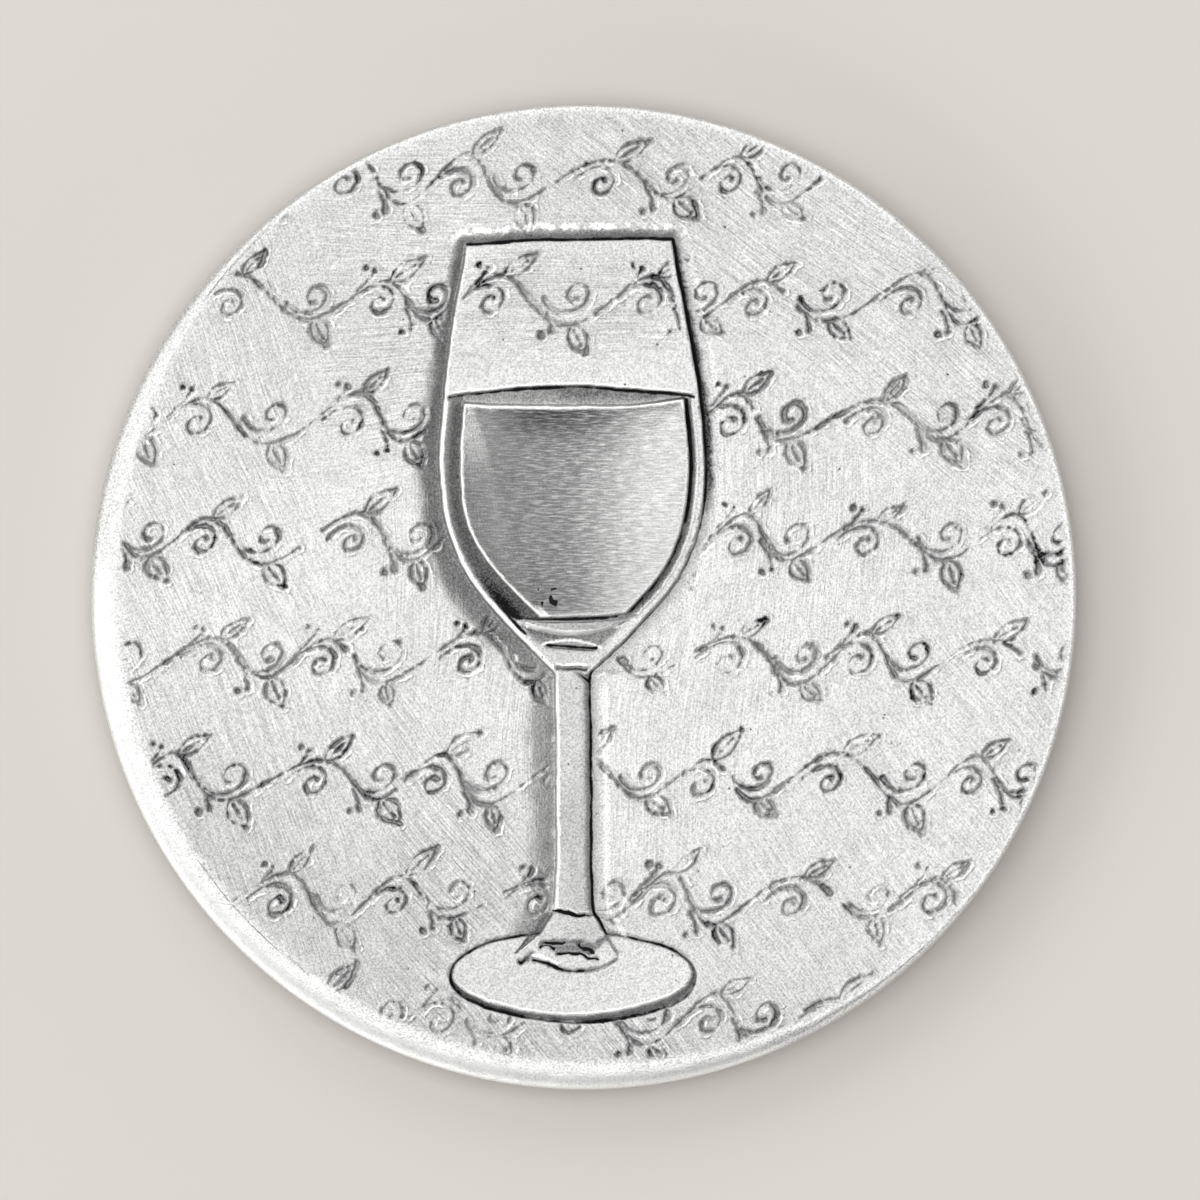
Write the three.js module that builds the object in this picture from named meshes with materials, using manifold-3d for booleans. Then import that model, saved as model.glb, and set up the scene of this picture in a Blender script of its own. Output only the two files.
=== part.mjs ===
// A round cast pewter drink coaster. Its face carries a wine glass in sunk relief, and a cork pad is
// bonded to its flat back. Millimetres. The coaster lies face up: +Z out of the face, +Y towards the
// glass's rim, and the origin at the centre of the cork's underside.

import * as THREE from 'three';
import { mergeVertices } from 'three/addons/utils/BufferGeometryUtils.js';
import Module from 'manifold-3d';

const wasm = await Module();
wasm.setup();

// The casting
const DISC_DIAMETER = 102;
const CASTING_THICKNESS = 4;
// Soft roll-off from the face to the side wall: its width and its height
const FACE_ROLL_WIDTH = 1.3;
const FACE_ROLL_DROP = 1.1;
// Round between the back and the side wall
const BACK_EDGE_ROUND = 0.5;
// How far the side wall leans in from back to face, so that the casting leaves its mould
const WALL_DRAFT = 0.25;

// The cork pad and the film that bonds it
const PAD_DIAMETER = 95;
const PAD_THICKNESS = 2;
const PAD_EDGE_ROUND = 0.25;
const FILM_THICKNESS = 0.2;
// The film stops short of the pad's edge by this much
const FILM_MARGIN = 0.6;

// The glass's outline. Its axis is a little left of the disc's centre
const GLASS_AXIS_X = -1.1;
const RIM_Y = 36.6;
const RIM_WIDTH = 21.4;
const BOWL_WIDTH = 27.4;
const BOWL_HEIGHT = 43.6;
// The widest place below the rim
const BELLY_DROP = 23.6;
// Lengths of the curve handles that shape the bowl's side: where it leaves the stem, below and above
// the belly, and at the rim
const BASE_HANDLE_X = 4.8;
const BASE_HANDLE_Y = 5.1;
const BELLY_HANDLE_DOWN = 11;
const BELLY_HANDLE_UP = 8;
const RIM_HANDLE_X = 1.2;
const RIM_HANDLE_Y = 7.6;
// The bowl's width where it meets the stem, and the height over which the stem flares out to it
const BOWL_BASE_WIDTH = 5.2;
const SHOULDER_HEIGHT = 0.8;
const STEM_LENGTH = 25.4;
const STEM_TOP_WIDTH = 3.5;
const STEM_BASE_WIDTH = 4;
const COLLAR_WIDTH = 9.6;
const COLLAR_HEIGHT = 4.6;
const FOOT_WIDTH = 25;
const FOOT_HEIGHT = 8.8;
// From the stem's lower end to the middle of the foot
const FOOT_DROP = 6.4;

// The wine in the glass
const GLASS_WALL = 2;
// The wine stands this far right of the glass's axis, so that the wall shows wider on the left
const WINE_SHIFT = 0.3;
// The wine's surface below the rim
const WINE_DROP = 15.9;
const WINE_SURFACE_HEIGHT = 2;
// The bottom of the wine above the stem
const WINE_FLOOR_RISE = 5.2;
const WINE_FLOOR_SAG = 0.5;

// The relief's depths, all measured down from the face
const MOAT_WIDTH = 2.6;
const MOAT_DEPTH = 0.75;
const GROOVE_WIDTH = 0.6;
const GROOVE_DEPTH = 0.6;
const CHANNEL_DEPTH = 0.65;
// Flat strip at the bottom of the moat, the groove and the channel
const FLOOR_WIDTH = 0.2;
// The outline ridge left standing between the moat and the channel
const RIDGE_WIDTH = 0.6;
const WINE_SINK = 0.1;
const WINE_DISH = 0.3;
const RELIEF_ROUND = 0.22;

// Lens-shaped lines cut across the glass: one in the bowl's thick base, and one at each end of the stem
// and at the collar's foot. They stop short of the edge they run towards
const LINE_WIDTH = 0.8;
const LINE_DEPTH = 0.5;
const LINE_STOP = 0.6;
const BASE_LENS_WIDTH = 5;
const BASE_LENS_RISE = 2.4;

// How finely round forms are cut
const DISC_SEGMENTS = 120;
const PAD_SEGMENTS = 96;
const FACE_ROUND_STEPS = 6;
const SMALL_ROUND_STEPS = 2;
const SIDE_STEPS = 11;
const OUTLINE_STEPS = 18;
const DISH_SEGMENTS = 40;
const DISH_STEPS = 5;
// Cutters rise this far above the face, and raised forms root this far below the moat's floor
const OVERRUN = 1;
const WELD = 1e-4;

const filmZ = PAD_THICKNESS;
const backZ = filmZ + FILM_THICKNESS;
const faceZ = backZ + CASTING_THICKNESS;

// A solid from a three.js shape, ready to be joined or cut
function solidOf(geometry) {
  geometry.deleteAttribute('normal');
  geometry.deleteAttribute('uv');
  const welded = mergeVertices(geometry, WELD);
  return new wasm.Manifold(new wasm.Mesh({
    numProp: 3,
    vertProperties: Float32Array.from(welded.attributes.position.array),
    triVerts: Uint32Array.from(welded.index.array),
  }));
}

function namedMesh(name, solid, material) {
  const data = solid.getMesh();
  const geometry = new THREE.BufferGeometry();
  geometry.setAttribute('position', new THREE.BufferAttribute(data.vertProperties, 3));
  geometry.setIndex(new THREE.BufferAttribute(data.triVerts, 1));
  geometry.computeVertexNormals();
  const mesh = new THREE.Mesh(geometry, material);
  mesh.name = name;
  return mesh;
}

// The points of a quarter oval that ends a quarter turn after its start angle
function quarterRound(x, y, width, height, start, steps) {
  return new THREE.EllipseCurve(x, y, width, height, start, start + Math.PI / 2).getPoints(steps);
}

// A profile from axis to axis, turned about Z
function turned(profile, segments) {
  const geometry = new THREE.LatheGeometry(profile, segments);
  geometry.rotateX(Math.PI / 2);
  return geometry;
}

// The outline of a curved side and its mirror image
function mirrored(right) {
  const left = right.map((point) => new THREE.Vector2(-point.x, point.y)).reverse();
  return new THREE.Shape([...right, ...left]);
}

const stemTopY = RIM_Y - BOWL_HEIGHT;
const stemBottomY = stemTopY - STEM_LENGTH;
const collarBottomY = stemBottomY - COLLAR_HEIGHT;
const footY = stemBottomY - FOOT_DROP;
const wineY = RIM_Y - WINE_DROP;
const wineFloorY = stemTopY + WINE_FLOOR_RISE;

// The right side of the bowl from the stem up to the rim, drawn in by an inset
function bowlSide(inset) {
  const belly = new THREE.Vector2(BOWL_WIDTH / 2, RIM_Y - BELLY_DROP);
  const lower = new THREE.CubicBezierCurve(
    new THREE.Vector2(BOWL_BASE_WIDTH / 2, stemTopY),
    new THREE.Vector2(BOWL_BASE_WIDTH / 2 + BASE_HANDLE_X, stemTopY + BASE_HANDLE_Y),
    new THREE.Vector2(belly.x, belly.y - BELLY_HANDLE_DOWN),
    belly,
  );
  const upper = new THREE.CubicBezierCurve(
    belly,
    new THREE.Vector2(belly.x, belly.y + BELLY_HANDLE_UP),
    new THREE.Vector2(RIM_WIDTH / 2 + RIM_HANDLE_X, RIM_Y - RIM_HANDLE_Y),
    new THREE.Vector2(RIM_WIDTH / 2, RIM_Y),
  );
  const points = [];
  for (const curve of [lower, upper]) {
    for (let i = curve === lower ? 0 : 1; i <= SIDE_STEPS; i++) {
      const tangent = curve.getTangent(i / SIDE_STEPS);
      const inward = new THREE.Vector2(-tangent.y, tangent.x).multiplyScalar(inset);
      points.push(curve.getPoint(i / SIDE_STEPS).add(inward));
    }
  }
  return points;
}

// The right side of the collar and the stem, from the collar's foot up to the shoulder
function stemSide() {
  return [
    new THREE.Vector2(COLLAR_WIDTH / 2, collarBottomY),
    new THREE.Vector2(STEM_BASE_WIDTH / 2, stemBottomY),
    new THREE.Vector2(STEM_TOP_WIDTH / 2, stemTopY - SHOULDER_HEIGHT),
  ];
}

// A pointed lens or crescent: two bowed edges that meet at its ends
function lensOutline(width, y, upperBow, lowerBow) {
  const shape = new THREE.Shape();
  shape.moveTo(-width / 2, y);
  shape.quadraticCurveTo(0, y + 2 * lowerBow, width / 2, y);
  shape.quadraticCurveTo(0, y + 2 * upperBow, -width / 2, y);
  return shape;
}

// A band right across the bowl, with a bowed top edge and a sagging bottom edge
function bandOutline(topY, topBow, bottomY) {
  const half = BOWL_WIDTH / 2 - WINE_SHIFT;
  const shape = new THREE.Shape();
  shape.moveTo(half, topY);
  shape.quadraticCurveTo(0, topY + 2 * topBow, -half, topY);
  shape.lineTo(-half, bottomY);
  shape.quadraticCurveTo(0, bottomY - 2 * WINE_FLOOR_SAG, half, bottomY);
  return shape;
}

// An outline on the glass's axis, made solid upwards from a height
function extruded(outline, bottom, options) {
  const geometry = new THREE.ExtrudeGeometry(outline, { curveSegments: OUTLINE_STEPS, ...options });
  geometry.translate(GLASS_AXIS_X, 0, bottom);
  return solidOf(geometry);
}

// A pan to cut away: a floor a little wider than the outline, and walls that slope out by a width
function pan(outline, width, depth) {
  return extruded(outline, faceZ, {
    depth: OVERRUN,
    bevelSegments: 1,
    bevelSize: width,
    bevelThickness: depth,
    bevelOffset: FLOOR_WIDTH,
  });
}

// A straight-walled cutter that goes down to a depth below the face
function slot(outline, depth) {
  return extruded(outline, faceZ - depth, { depth: depth + OVERRUN, bevelEnabled: false });
}

// A raised form with a rounded top edge, rooted below the floor it stands on
function plateau(outline, sink) {
  const root = MOAT_DEPTH + OVERRUN;
  return extruded(outline, faceZ - sink - RELIEF_ROUND - root, {
    depth: root,
    bevelSegments: SMALL_ROUND_STEPS,
    bevelSize: RELIEF_ROUND,
    bevelThickness: RELIEF_ROUND,
    bevelOffset: -RELIEF_ROUND,
  });
}

// A lens-shaped line cut across the glass
function crossLine(width, y) {
  return slot(lensOutline(width, y, LINE_WIDTH / 2, -LINE_WIDTH / 2), LINE_DEPTH);
}

// A shallow dish that hollows the wine's face: deepest in the middle and level at its rim
function wineDish() {
  const hollow = new THREE.QuadraticBezierCurve(
    new THREE.Vector2(0, -WINE_DISH), new THREE.Vector2(0.5, -WINE_DISH), new THREE.Vector2(1, 0));
  const profile = [...hollow.getPoints(DISH_STEPS), new THREE.Vector2(1, OVERRUN),
    new THREE.Vector2(0, OVERRUN)];
  const geometry = turned(profile, DISH_SEGMENTS);
  geometry.scale(BOWL_WIDTH / 2, (wineY - wineFloorY) / 2 + GLASS_WALL, 1);
  geometry.translate(GLASS_AXIS_X, (wineY + wineFloorY) / 2, faceZ - WINE_SINK);
  return solidOf(geometry);
}

const bowl = mirrored(bowlSide(0));
const inside = mirrored(bowlSide(GLASS_WALL));
const stem = mirrored([...stemSide(), new THREE.Vector2(STEM_TOP_WIDTH / 2, stemTopY + OVERRUN)]);
const glass = mirrored([...stemSide(), ...bowlSide(0)]);
const foot = new THREE.Shape();
foot.absellipse(0, footY, FOOT_WIDTH / 2, FOOT_HEIGHT / 2, 0, 2 * Math.PI, false);

// The wine stands in a channel, whose top shows above it as the lens of the wine's surface
const wineBow = WINE_SURFACE_HEIGHT / 2;
const channel = pan(inside, GLASS_WALL - RIDGE_WIDTH - FLOOR_WIDTH, CHANNEL_DEPTH)
  .intersect(slot(bandOutline(wineY, wineBow, wineFloorY - LINE_WIDTH), MOAT_DEPTH))
  .translate(WINE_SHIFT, 0, 0);
const wine = plateau(inside, WINE_SINK)
  .intersect(slot(bandOutline(wineY, -wineBow, wineFloorY), MOAT_DEPTH + RELIEF_ROUND))
  .subtract(wineDish())
  .translate(WINE_SHIFT, 0, 0);

const discRadius = DISC_DIAMETER / 2;
const faceRadius = discRadius - WALL_DRAFT;
const castingProfile = [
  new THREE.Vector2(0, backZ),
  ...quarterRound(discRadius - BACK_EDGE_ROUND, backZ + BACK_EDGE_ROUND, BACK_EDGE_ROUND, BACK_EDGE_ROUND,
    -Math.PI / 2, SMALL_ROUND_STEPS),
  ...quarterRound(faceRadius - FACE_ROLL_WIDTH, faceZ - FACE_ROLL_DROP, FACE_ROLL_WIDTH, FACE_ROLL_DROP,
    0, FACE_ROUND_STEPS),
  new THREE.Vector2(0, faceZ),
];
const casting = solidOf(turned(castingProfile, DISC_SEGMENTS))
  .subtract(pan(bowl, MOAT_WIDTH, MOAT_DEPTH))
  .subtract(pan(stem, MOAT_WIDTH, MOAT_DEPTH))
  .subtract(pan(foot, GROOVE_WIDTH, GROOVE_DEPTH))
  .add(plateau(foot, 0))
  .add(plateau(glass, 0))
  .subtract(channel)
  .add(wine)
  .subtract(crossLine(BASE_LENS_WIDTH, stemTopY + BASE_LENS_RISE))
  .subtract(crossLine(STEM_TOP_WIDTH - LINE_STOP, stemTopY))
  .subtract(crossLine(STEM_BASE_WIDTH - LINE_STOP, stemBottomY))
  .subtract(crossLine(COLLAR_WIDTH - LINE_STOP, collarBottomY));

const padRadius = PAD_DIAMETER / 2;
const padProfile = [
  new THREE.Vector2(0, 0),
  ...quarterRound(padRadius - PAD_EDGE_ROUND, PAD_EDGE_ROUND, PAD_EDGE_ROUND, PAD_EDGE_ROUND,
    -Math.PI / 2, SMALL_ROUND_STEPS),
  ...quarterRound(padRadius - PAD_EDGE_ROUND, filmZ - PAD_EDGE_ROUND, PAD_EDGE_ROUND, PAD_EDGE_ROUND,
    0, SMALL_ROUND_STEPS),
  new THREE.Vector2(0, filmZ),
];
const pad = solidOf(turned(padProfile, PAD_SEGMENTS));

const filmRadius = padRadius - PAD_EDGE_ROUND - FILM_MARGIN;
const filmGeometry = new THREE.CylinderGeometry(filmRadius, filmRadius, FILM_THICKNESS, PAD_SEGMENTS);
filmGeometry.rotateX(Math.PI / 2);
filmGeometry.translate(0, 0, filmZ + FILM_THICKNESS / 2);
const film = solidOf(filmGeometry);

const pewter = new THREE.MeshStandardMaterial({ color: 0xd3d3d1, metalness: 1, roughness: 0.45 });
const cork = new THREE.MeshStandardMaterial({ color: 0xb48a5c, metalness: 0, roughness: 0.9 });
const adhesive = new THREE.MeshStandardMaterial({ color: 0xe6dcc0, metalness: 0, roughness: 0.5 });

const group = new THREE.Group();
group.name = 'drink_coaster';
group.add(namedMesh('pewter_disc', casting, pewter));
group.add(namedMesh('adhesive_film', film, adhesive));
group.add(namedMesh('cork_pad', pad, cork));

export default group;
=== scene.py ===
"""Dresses the cast pewter drink coaster: its brushed and carved casting, its cork pad and their bond."""

import math
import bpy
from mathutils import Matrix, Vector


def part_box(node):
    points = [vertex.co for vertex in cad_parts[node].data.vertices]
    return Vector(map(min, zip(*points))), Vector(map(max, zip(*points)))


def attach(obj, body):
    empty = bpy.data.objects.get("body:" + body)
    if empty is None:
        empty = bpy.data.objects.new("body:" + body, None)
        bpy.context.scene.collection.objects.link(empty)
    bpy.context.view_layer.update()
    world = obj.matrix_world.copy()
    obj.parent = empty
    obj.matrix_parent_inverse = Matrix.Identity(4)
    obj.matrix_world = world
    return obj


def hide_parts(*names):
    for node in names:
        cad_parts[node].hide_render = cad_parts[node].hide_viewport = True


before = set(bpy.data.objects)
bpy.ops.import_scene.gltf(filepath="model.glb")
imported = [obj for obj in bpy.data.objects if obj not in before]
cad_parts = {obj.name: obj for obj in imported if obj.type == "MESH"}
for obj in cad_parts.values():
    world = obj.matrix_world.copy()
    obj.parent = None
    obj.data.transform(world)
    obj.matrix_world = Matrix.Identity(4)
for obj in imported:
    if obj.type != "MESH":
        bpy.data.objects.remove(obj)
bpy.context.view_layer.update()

from types import SimpleNamespace

import bpy
import numpy as np

bl_info = {
    "name": "Cast pewter drink coaster",
    "version": (1, 0, 0),
    "blender": (4, 5, 0),
    "location": "3D View > Sidebar > Coaster",
    "description": "Builds the visible casting, cork pad, bonding film and stage of a drink coaster",
    "category": "Add Mesh",
}

MM = 0.001
CASTING_LOW, CASTING_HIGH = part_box("pewter_disc")
PAD_LOW, PAD_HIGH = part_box("cork_pad")
FILM_LOW, FILM_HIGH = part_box("adhesive_film")

# Spacing of the face's raster in millimetres
RASTER_STEP = 0.07
# Vertices along a side of each disc's grid, and the casting's triangles once its mesh is thinned
FACE_COUNT, PAD_COUNT, FILM_COUNT = 900, 150, 60
CASTING_TRIANGLES = 188_000
# Height of the burrs, whose tops are the casting's highest points, above the field in millimetres
BURR = 0.07
# Distance at which closeness to a line is 0, and width of a patch's soft border, in millimetres
LINE_REACH, PATCH_BORDER = 0.5, 0.6
# Where the edge is worn broadest and where its painted highlight is brightest, anticlockwise from the right
WORN_SIDE, HIGHLIGHT_SIDE = math.radians(222), math.radians(235)

# The values that a noise texture mostly keeps to, as the input of a Map Range node
NOISE_SPAN = {"From Min": 0.3, "From Max": 0.7}
# The floor's half side and its height, in millimetres: just below the cork, so that the two don't coincide
FLOOR_HALF, FLOOR_TOP = 12_000.0, -0.03
# Level of the light from all round the studio
AMBIENT = 0.18
# The camera's sensor and lens in millimetres, and the middle and width of its view of the face in metres
SENSOR, LENS = 36.0, 240.0
VIEW_X, VIEW_Y, VIEW_WIDTH = 0.0017, -0.0003, 0.1236


def length(label, about, millimetres):
    """A length property that is given in millimetres and kept in metres."""
    return bpy.props.FloatProperty(
        name=label, description=about, default=millimetres * MM, unit="LENGTH", precision=5)


def colour(label, about, code):
    """A colour property that is kept as an sRGB hex code."""
    return bpy.props.StringProperty(name=label, description=about, default=code)


class CoasterCasting(bpy.types.PropertyGroup):
    """Sizes of the turned form of the casting."""
    roll: length("Edge roll", "Width of the soft roll-off from the face to the side wall", 0.3)
    worn_roll: length("Worn edge roll", "Broadest roll-off, on the lower left", 2.6)
    roll_drop: length("Edge roll drop", "Height of the roll-off", 1.1)
    back_round: length("Back edge round", "Round between the back and the side wall", 0.5)
    draft: length("Wall draft", "How far the side wall leans in from back to face", 0.25)


class CoasterGlass(bpy.types.PropertyGroup):
    """Sizes of the wine glass in sunk relief."""
    axis_x: length("Axis", "Glass axis from the disc's centre", -1.1)
    rim_y: length("Rim", "Rim above the disc's centre", 36.6)
    rim_width: length("Rim width", "Width of the glass at its rim", 21.4)
    bowl_width: length("Bowl width", "Width of the bowl at its belly", 27.4)
    bowl_height: length("Bowl height", "Rim to stem", 43.6)
    belly_drop: length("Belly drop", "Belly below the rim", 23.6)
    wall: length("Glass wall", "Outline to the wine's edge", 2.0)
    wine_drop: length("Wine drop", "Wine's surface below the rim", 15.9)
    wine_rise: length("Wine floor", "Bottom of the wine above the stem", 5.2)
    wine_lens: length("Wine surface", "Height of the lens of the wine's surface", 2.0)
    stem_length: length("Stem length", "Bowl to collar", 25.4)
    bowl_base: length("Bowl base width", "Width of the bowl where the stem begins", 5.2)
    stem_top: length("Stem top width", "Width of the stem under the bowl", 3.5)
    stem_base: length("Stem base width", "Width of the stem above the collar", 4.0)
    collar_width: length("Collar width", "Width of the collar on the foot", 9.6)
    collar_height: length("Collar height", "Height of the collar", 4.6)
    foot_width: length("Foot width", "Width of the foot", 24.6)
    foot_height: length("Foot height", "Height of the foot as drawn", 8.6)
    foot_drop: length("Foot drop", "Stem's end to the middle of the foot", 6.4)
    moat: length("Moat depth", "Depth of the moat round the glass", 0.7)
    channel: length("Channel depth", "Depth of the channel round the wine", 0.65)


class CoasterVine(bpy.types.PropertyGroup):
    """Sizes of the running vine that is cut into the field in rows."""
    top_row: length("Top row", "First row above the disc's centre", 43.0)
    pitch: length("Row pitch", "Distance from row to row", 12.35)
    wave: length("Wave length", "One full wave of the vine's stem", 13.6)
    swing: length("Swing", "Height of the wave above its middle line", 2.3)
    stroke: length("Stroke", "Half width of the vine's stem", 0.17)
    depth: length("Depth", "Depth of the cut", 0.34)
    rows: bpy.props.IntProperty(name="Rows", description="Number of rows", default=8, min=1)
    seed: bpy.props.IntProperty(name="Seed", description="Draw of the hand's irregularity", default=11)


class CoasterColours(bpy.types.PropertyGroup):
    """Colours of the materials."""
    pewter: colour("Pewter", "Brushed pewter", "#e2e2e1")
    # Paler pewter for rubbed edges and for painted highlights
    rubbed: colour("Rubbed pewter", "Raised edges that are rubbed bright", "#f8f8f6")
    # Dark tone for the oxide in the hollows and for painted shade
    oxide_and_shade: colour("Oxide", "Dark patina left in the hollows", "#232324")
    cork_light: colour("Cork light", "Pale cork granules", "#c99d6b")
    cork_dark: colour("Cork dark", "Bark specks between the granules", "#5d3d25")
    film: colour("Film", "Bonding film", "#ddd3b8")
    floor: colour("Floor", "Studio floor", "#dedad4")


GROUPS = {
    "coaster_casting": CoasterCasting,
    "coaster_glass": CoasterGlass,
    "coaster_vine": CoasterVine,
    "coaster_colours": CoasterColours,
}


def in_millimetres(name):
    """A property group's lengths in millimetres and its counts as they are."""
    group = getattr(bpy.context.scene, name)
    values = {}
    for key in type(group).__annotations__:
        value = getattr(group, key)
        values[key] = value if isinstance(value, int) else value / MM
    return SimpleNamespace(**values)


def linear(code):
    """An sRGB hex code as linear red, green and blue with a full alpha."""
    values = np.array([int(code[i:i + 2], 16) for i in (1, 3, 5)]) / 255
    values = np.where(values <= 0.04045, values / 12.92, ((values + 0.055) / 1.055) ** 2.4)
    return (*values.tolist(), 1.0)


def ease(low, high, x):
    """A smooth step from 0 at low to 1 at high; low may be the larger of the two."""
    t = np.clip((x - low) / (high - low), 0, 1)
    return t * t * (3 - 2 * t)


def grain(x, y, cell, seed):
    """Value noise from -1 to 1: random numbers on a square lattice, blended by a smooth step."""
    count = 256
    lattice = np.random.default_rng(seed).uniform(-1, 1, (count, count)).astype(np.float32)
    gx, gy = x / cell, y / cell
    ix, iy = np.floor(gx).astype(np.int32), np.floor(gy).astype(np.int32)
    fx, fy = gx - ix, gy - iy
    fx, fy = fx * fx * (3 - 2 * fx), fy * fy * (3 - 2 * fy)
    ix, iy = ix % count, iy % count
    jx, jy = (ix + 1) % count, (iy + 1) % count
    low = lattice[iy, ix] * (1 - fx) + lattice[iy, jx] * fx
    high = lattice[jy, ix] * (1 - fx) + lattice[jy, jx] * fx
    return low * (1 - fy) + high * fy


def bezier(points, t):
    """A cubic curve from four points, at the parameters t."""
    weights = np.stack([(1 - t) ** 3, 3 * t * (1 - t) ** 2, 3 * t * t * (1 - t), t ** 3], 1)
    return weights @ np.array(points)


def glass_places(g):
    """The heights, from the disc's centre, that the glass's parts share."""
    stem_top = g.rim_y - g.bowl_height
    stem_base = stem_top - g.stem_length
    return SimpleNamespace(
        stem_top=stem_top,
        stem_base=stem_base,
        collar=stem_base - g.collar_height,
        foot=stem_base - g.foot_drop,
        belly=g.rim_y - g.belly_drop,
        wine=g.rim_y - g.wine_drop,
        floor=stem_top + g.wine_rise,
    )


def glass_side(g, p):
    """The glass's half width at each height, from the collar's foot to the rim.

    The collar and stem are straight tapers. The bowl is two cubic curves that meet upright at the belly.
    A running mean softens the corners between them.
    """
    t = np.linspace(0, 1, 120)
    half, belly = g.bowl_base / 2, g.bowl_width / 2
    lower = bezier([(half, p.stem_top), (half + 4.8, p.stem_top + 5.1),
                    (belly, p.belly - 11.0), (belly, p.belly)], t)
    upper = bezier([(belly, p.belly), (belly, p.belly + 8.0),
                    (g.rim_width / 2 + 1.2, g.rim_y - 7.6), (g.rim_width / 2, g.rim_y)], t)
    shank = np.array([(g.collar_width / 2, p.collar), (g.stem_base / 2, p.stem_base),
                      (g.stem_top / 2, p.stem_base + 6.0), (g.stem_top / 2, p.stem_top - 0.8)])
    points = np.concatenate([shank, lower, upper[1:]])
    heights = np.arange(p.collar - 8, g.rim_y + 8, 0.05)
    widths = np.interp(heights, points[:, 1], points[:, 0])
    window = 13
    padded = np.pad(widths, window // 2, mode="edge")
    return heights, np.convolve(padded, np.ones(window) / window, mode="valid")


def glass_distance(x, y, g, p):
    """Distance outside the glass's outline, negative inside.

    It is the sideways distance to the half width at that height, times the cosine of the side's slope,
    joined with the distance above the rim, which is slightly bowed and tilted.
    """
    heights, widths = glass_side(g, p)
    slopes = np.gradient(widths, heights)
    half = np.interp(y, heights, widths)
    cosine = 1 / np.sqrt(1 + np.interp(y, heights, slopes) ** 2)
    side = (np.abs(x) - half) * cosine
    top = y - g.rim_y - 0.2 * (1 - (x / (g.rim_width / 2)) ** 2) - 0.027 * x
    end = np.maximum(top, p.collar - y)
    return np.hypot(np.maximum(side, 0), np.maximum(end, 0)) + np.minimum(np.maximum(side, end), 0)


def line_cut(distance, reach, width, depth):
    """A round-bottomed cut along a line: a bell of the given width, faded where reach falls below 0."""
    return -depth * np.exp(-(distance / width) ** 2) * ease(0.0, 0.5, reach)


def bell(x, middle, width):
    """A smooth bump of height 1 round the middle."""
    return np.exp(-((x - middle) / width) ** 2)


def near(distance):
    """Closeness to a line: 1 on it, and falling evenly to 0 at LINE_REACH."""
    return np.clip(1 - np.abs(distance) / LINE_REACH, 0, 1)


def patch(outside):
    """Closeness to a patch: a half on its border, and 1 inside and 0 outside its soft border."""
    return np.clip(0.5 - outside / PATCH_BORDER, 0, 1)


def segment(x, y, start, end):
    """Distance to the straight run from start to end."""
    run = np.subtract(end, start)
    t = np.clip(((x - start[0]) * run[0] + (y - start[1]) * run[1]) / (run @ run), 0, 1)
    return np.hypot(x - start[0] - t * run[0], y - start[1] - t * run[1])


def glass_frame(x, y, g, p):
    """Distances and shares on the raster that the parts of the glass use.

    d is the distance outside the outline, shore that inside the wine's sides and surface, and within that
    inside its whole edge. far is 1 on sides that face right or the rim and 0 on those that face left. The
    wine's surface is a lens between two bowed lines, flatter below on its left.
    """
    d = glass_distance(x, y, g, p)
    heights, widths = glass_side(g, p)
    out_y, out_x = np.gradient(d, RASTER_STEP)
    bow = (x / np.interp(p.wine, heights, widths)) ** 2
    surface_top = p.wine + g.wine_lens / 2 * np.clip(1 - bow, -1, 1)
    surface_low = p.wine - g.wine_lens / 2 * np.clip(1 - bow * np.where(x < 0, 0.5, 1.0), -1, 1)
    floor = p.floor - 0.27 + 0.016 * x + 0.01 * x * x
    left, deep = ease(2.0, -2.0, x), ease(p.belly - 4, p.floor, y)
    wall = g.wall + left * (0.1 + deep) - 0.3 * (1 - left)
    shore = np.minimum(-d - wall, surface_low - y)
    foot_x, foot_y = np.abs(x) / (g.foot_width / 2), (y - p.foot) / (g.foot_height / 2)
    steep = np.hypot(1.75 * foot_x ** 0.75 / (g.foot_width / 2), 2 * foot_y / (g.foot_height / 2))
    from_foot = (foot_x ** 1.75 + foot_y ** 2 - 1) / np.maximum(steep, 0.02)
    return SimpleNamespace(
        d=d, inside=-d, half=np.interp(y, heights, widths), far=ease(-0.35, 0.5, out_x + 0.55 * out_y),
        surface_top=surface_top, surface_low=surface_low, floor=floor, wall=wall, shore=shore,
        within=np.minimum(shore, y - floor),
        from_foot=from_foot, on_foot=ease(0.1, -0.1, from_foot), lower=ease(0.4, -0.7, foot_y),
        rough=0.22 * grain(x, y, 0.9, 34) + 0.18 * grain(x, y, 0.4, 35))


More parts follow.
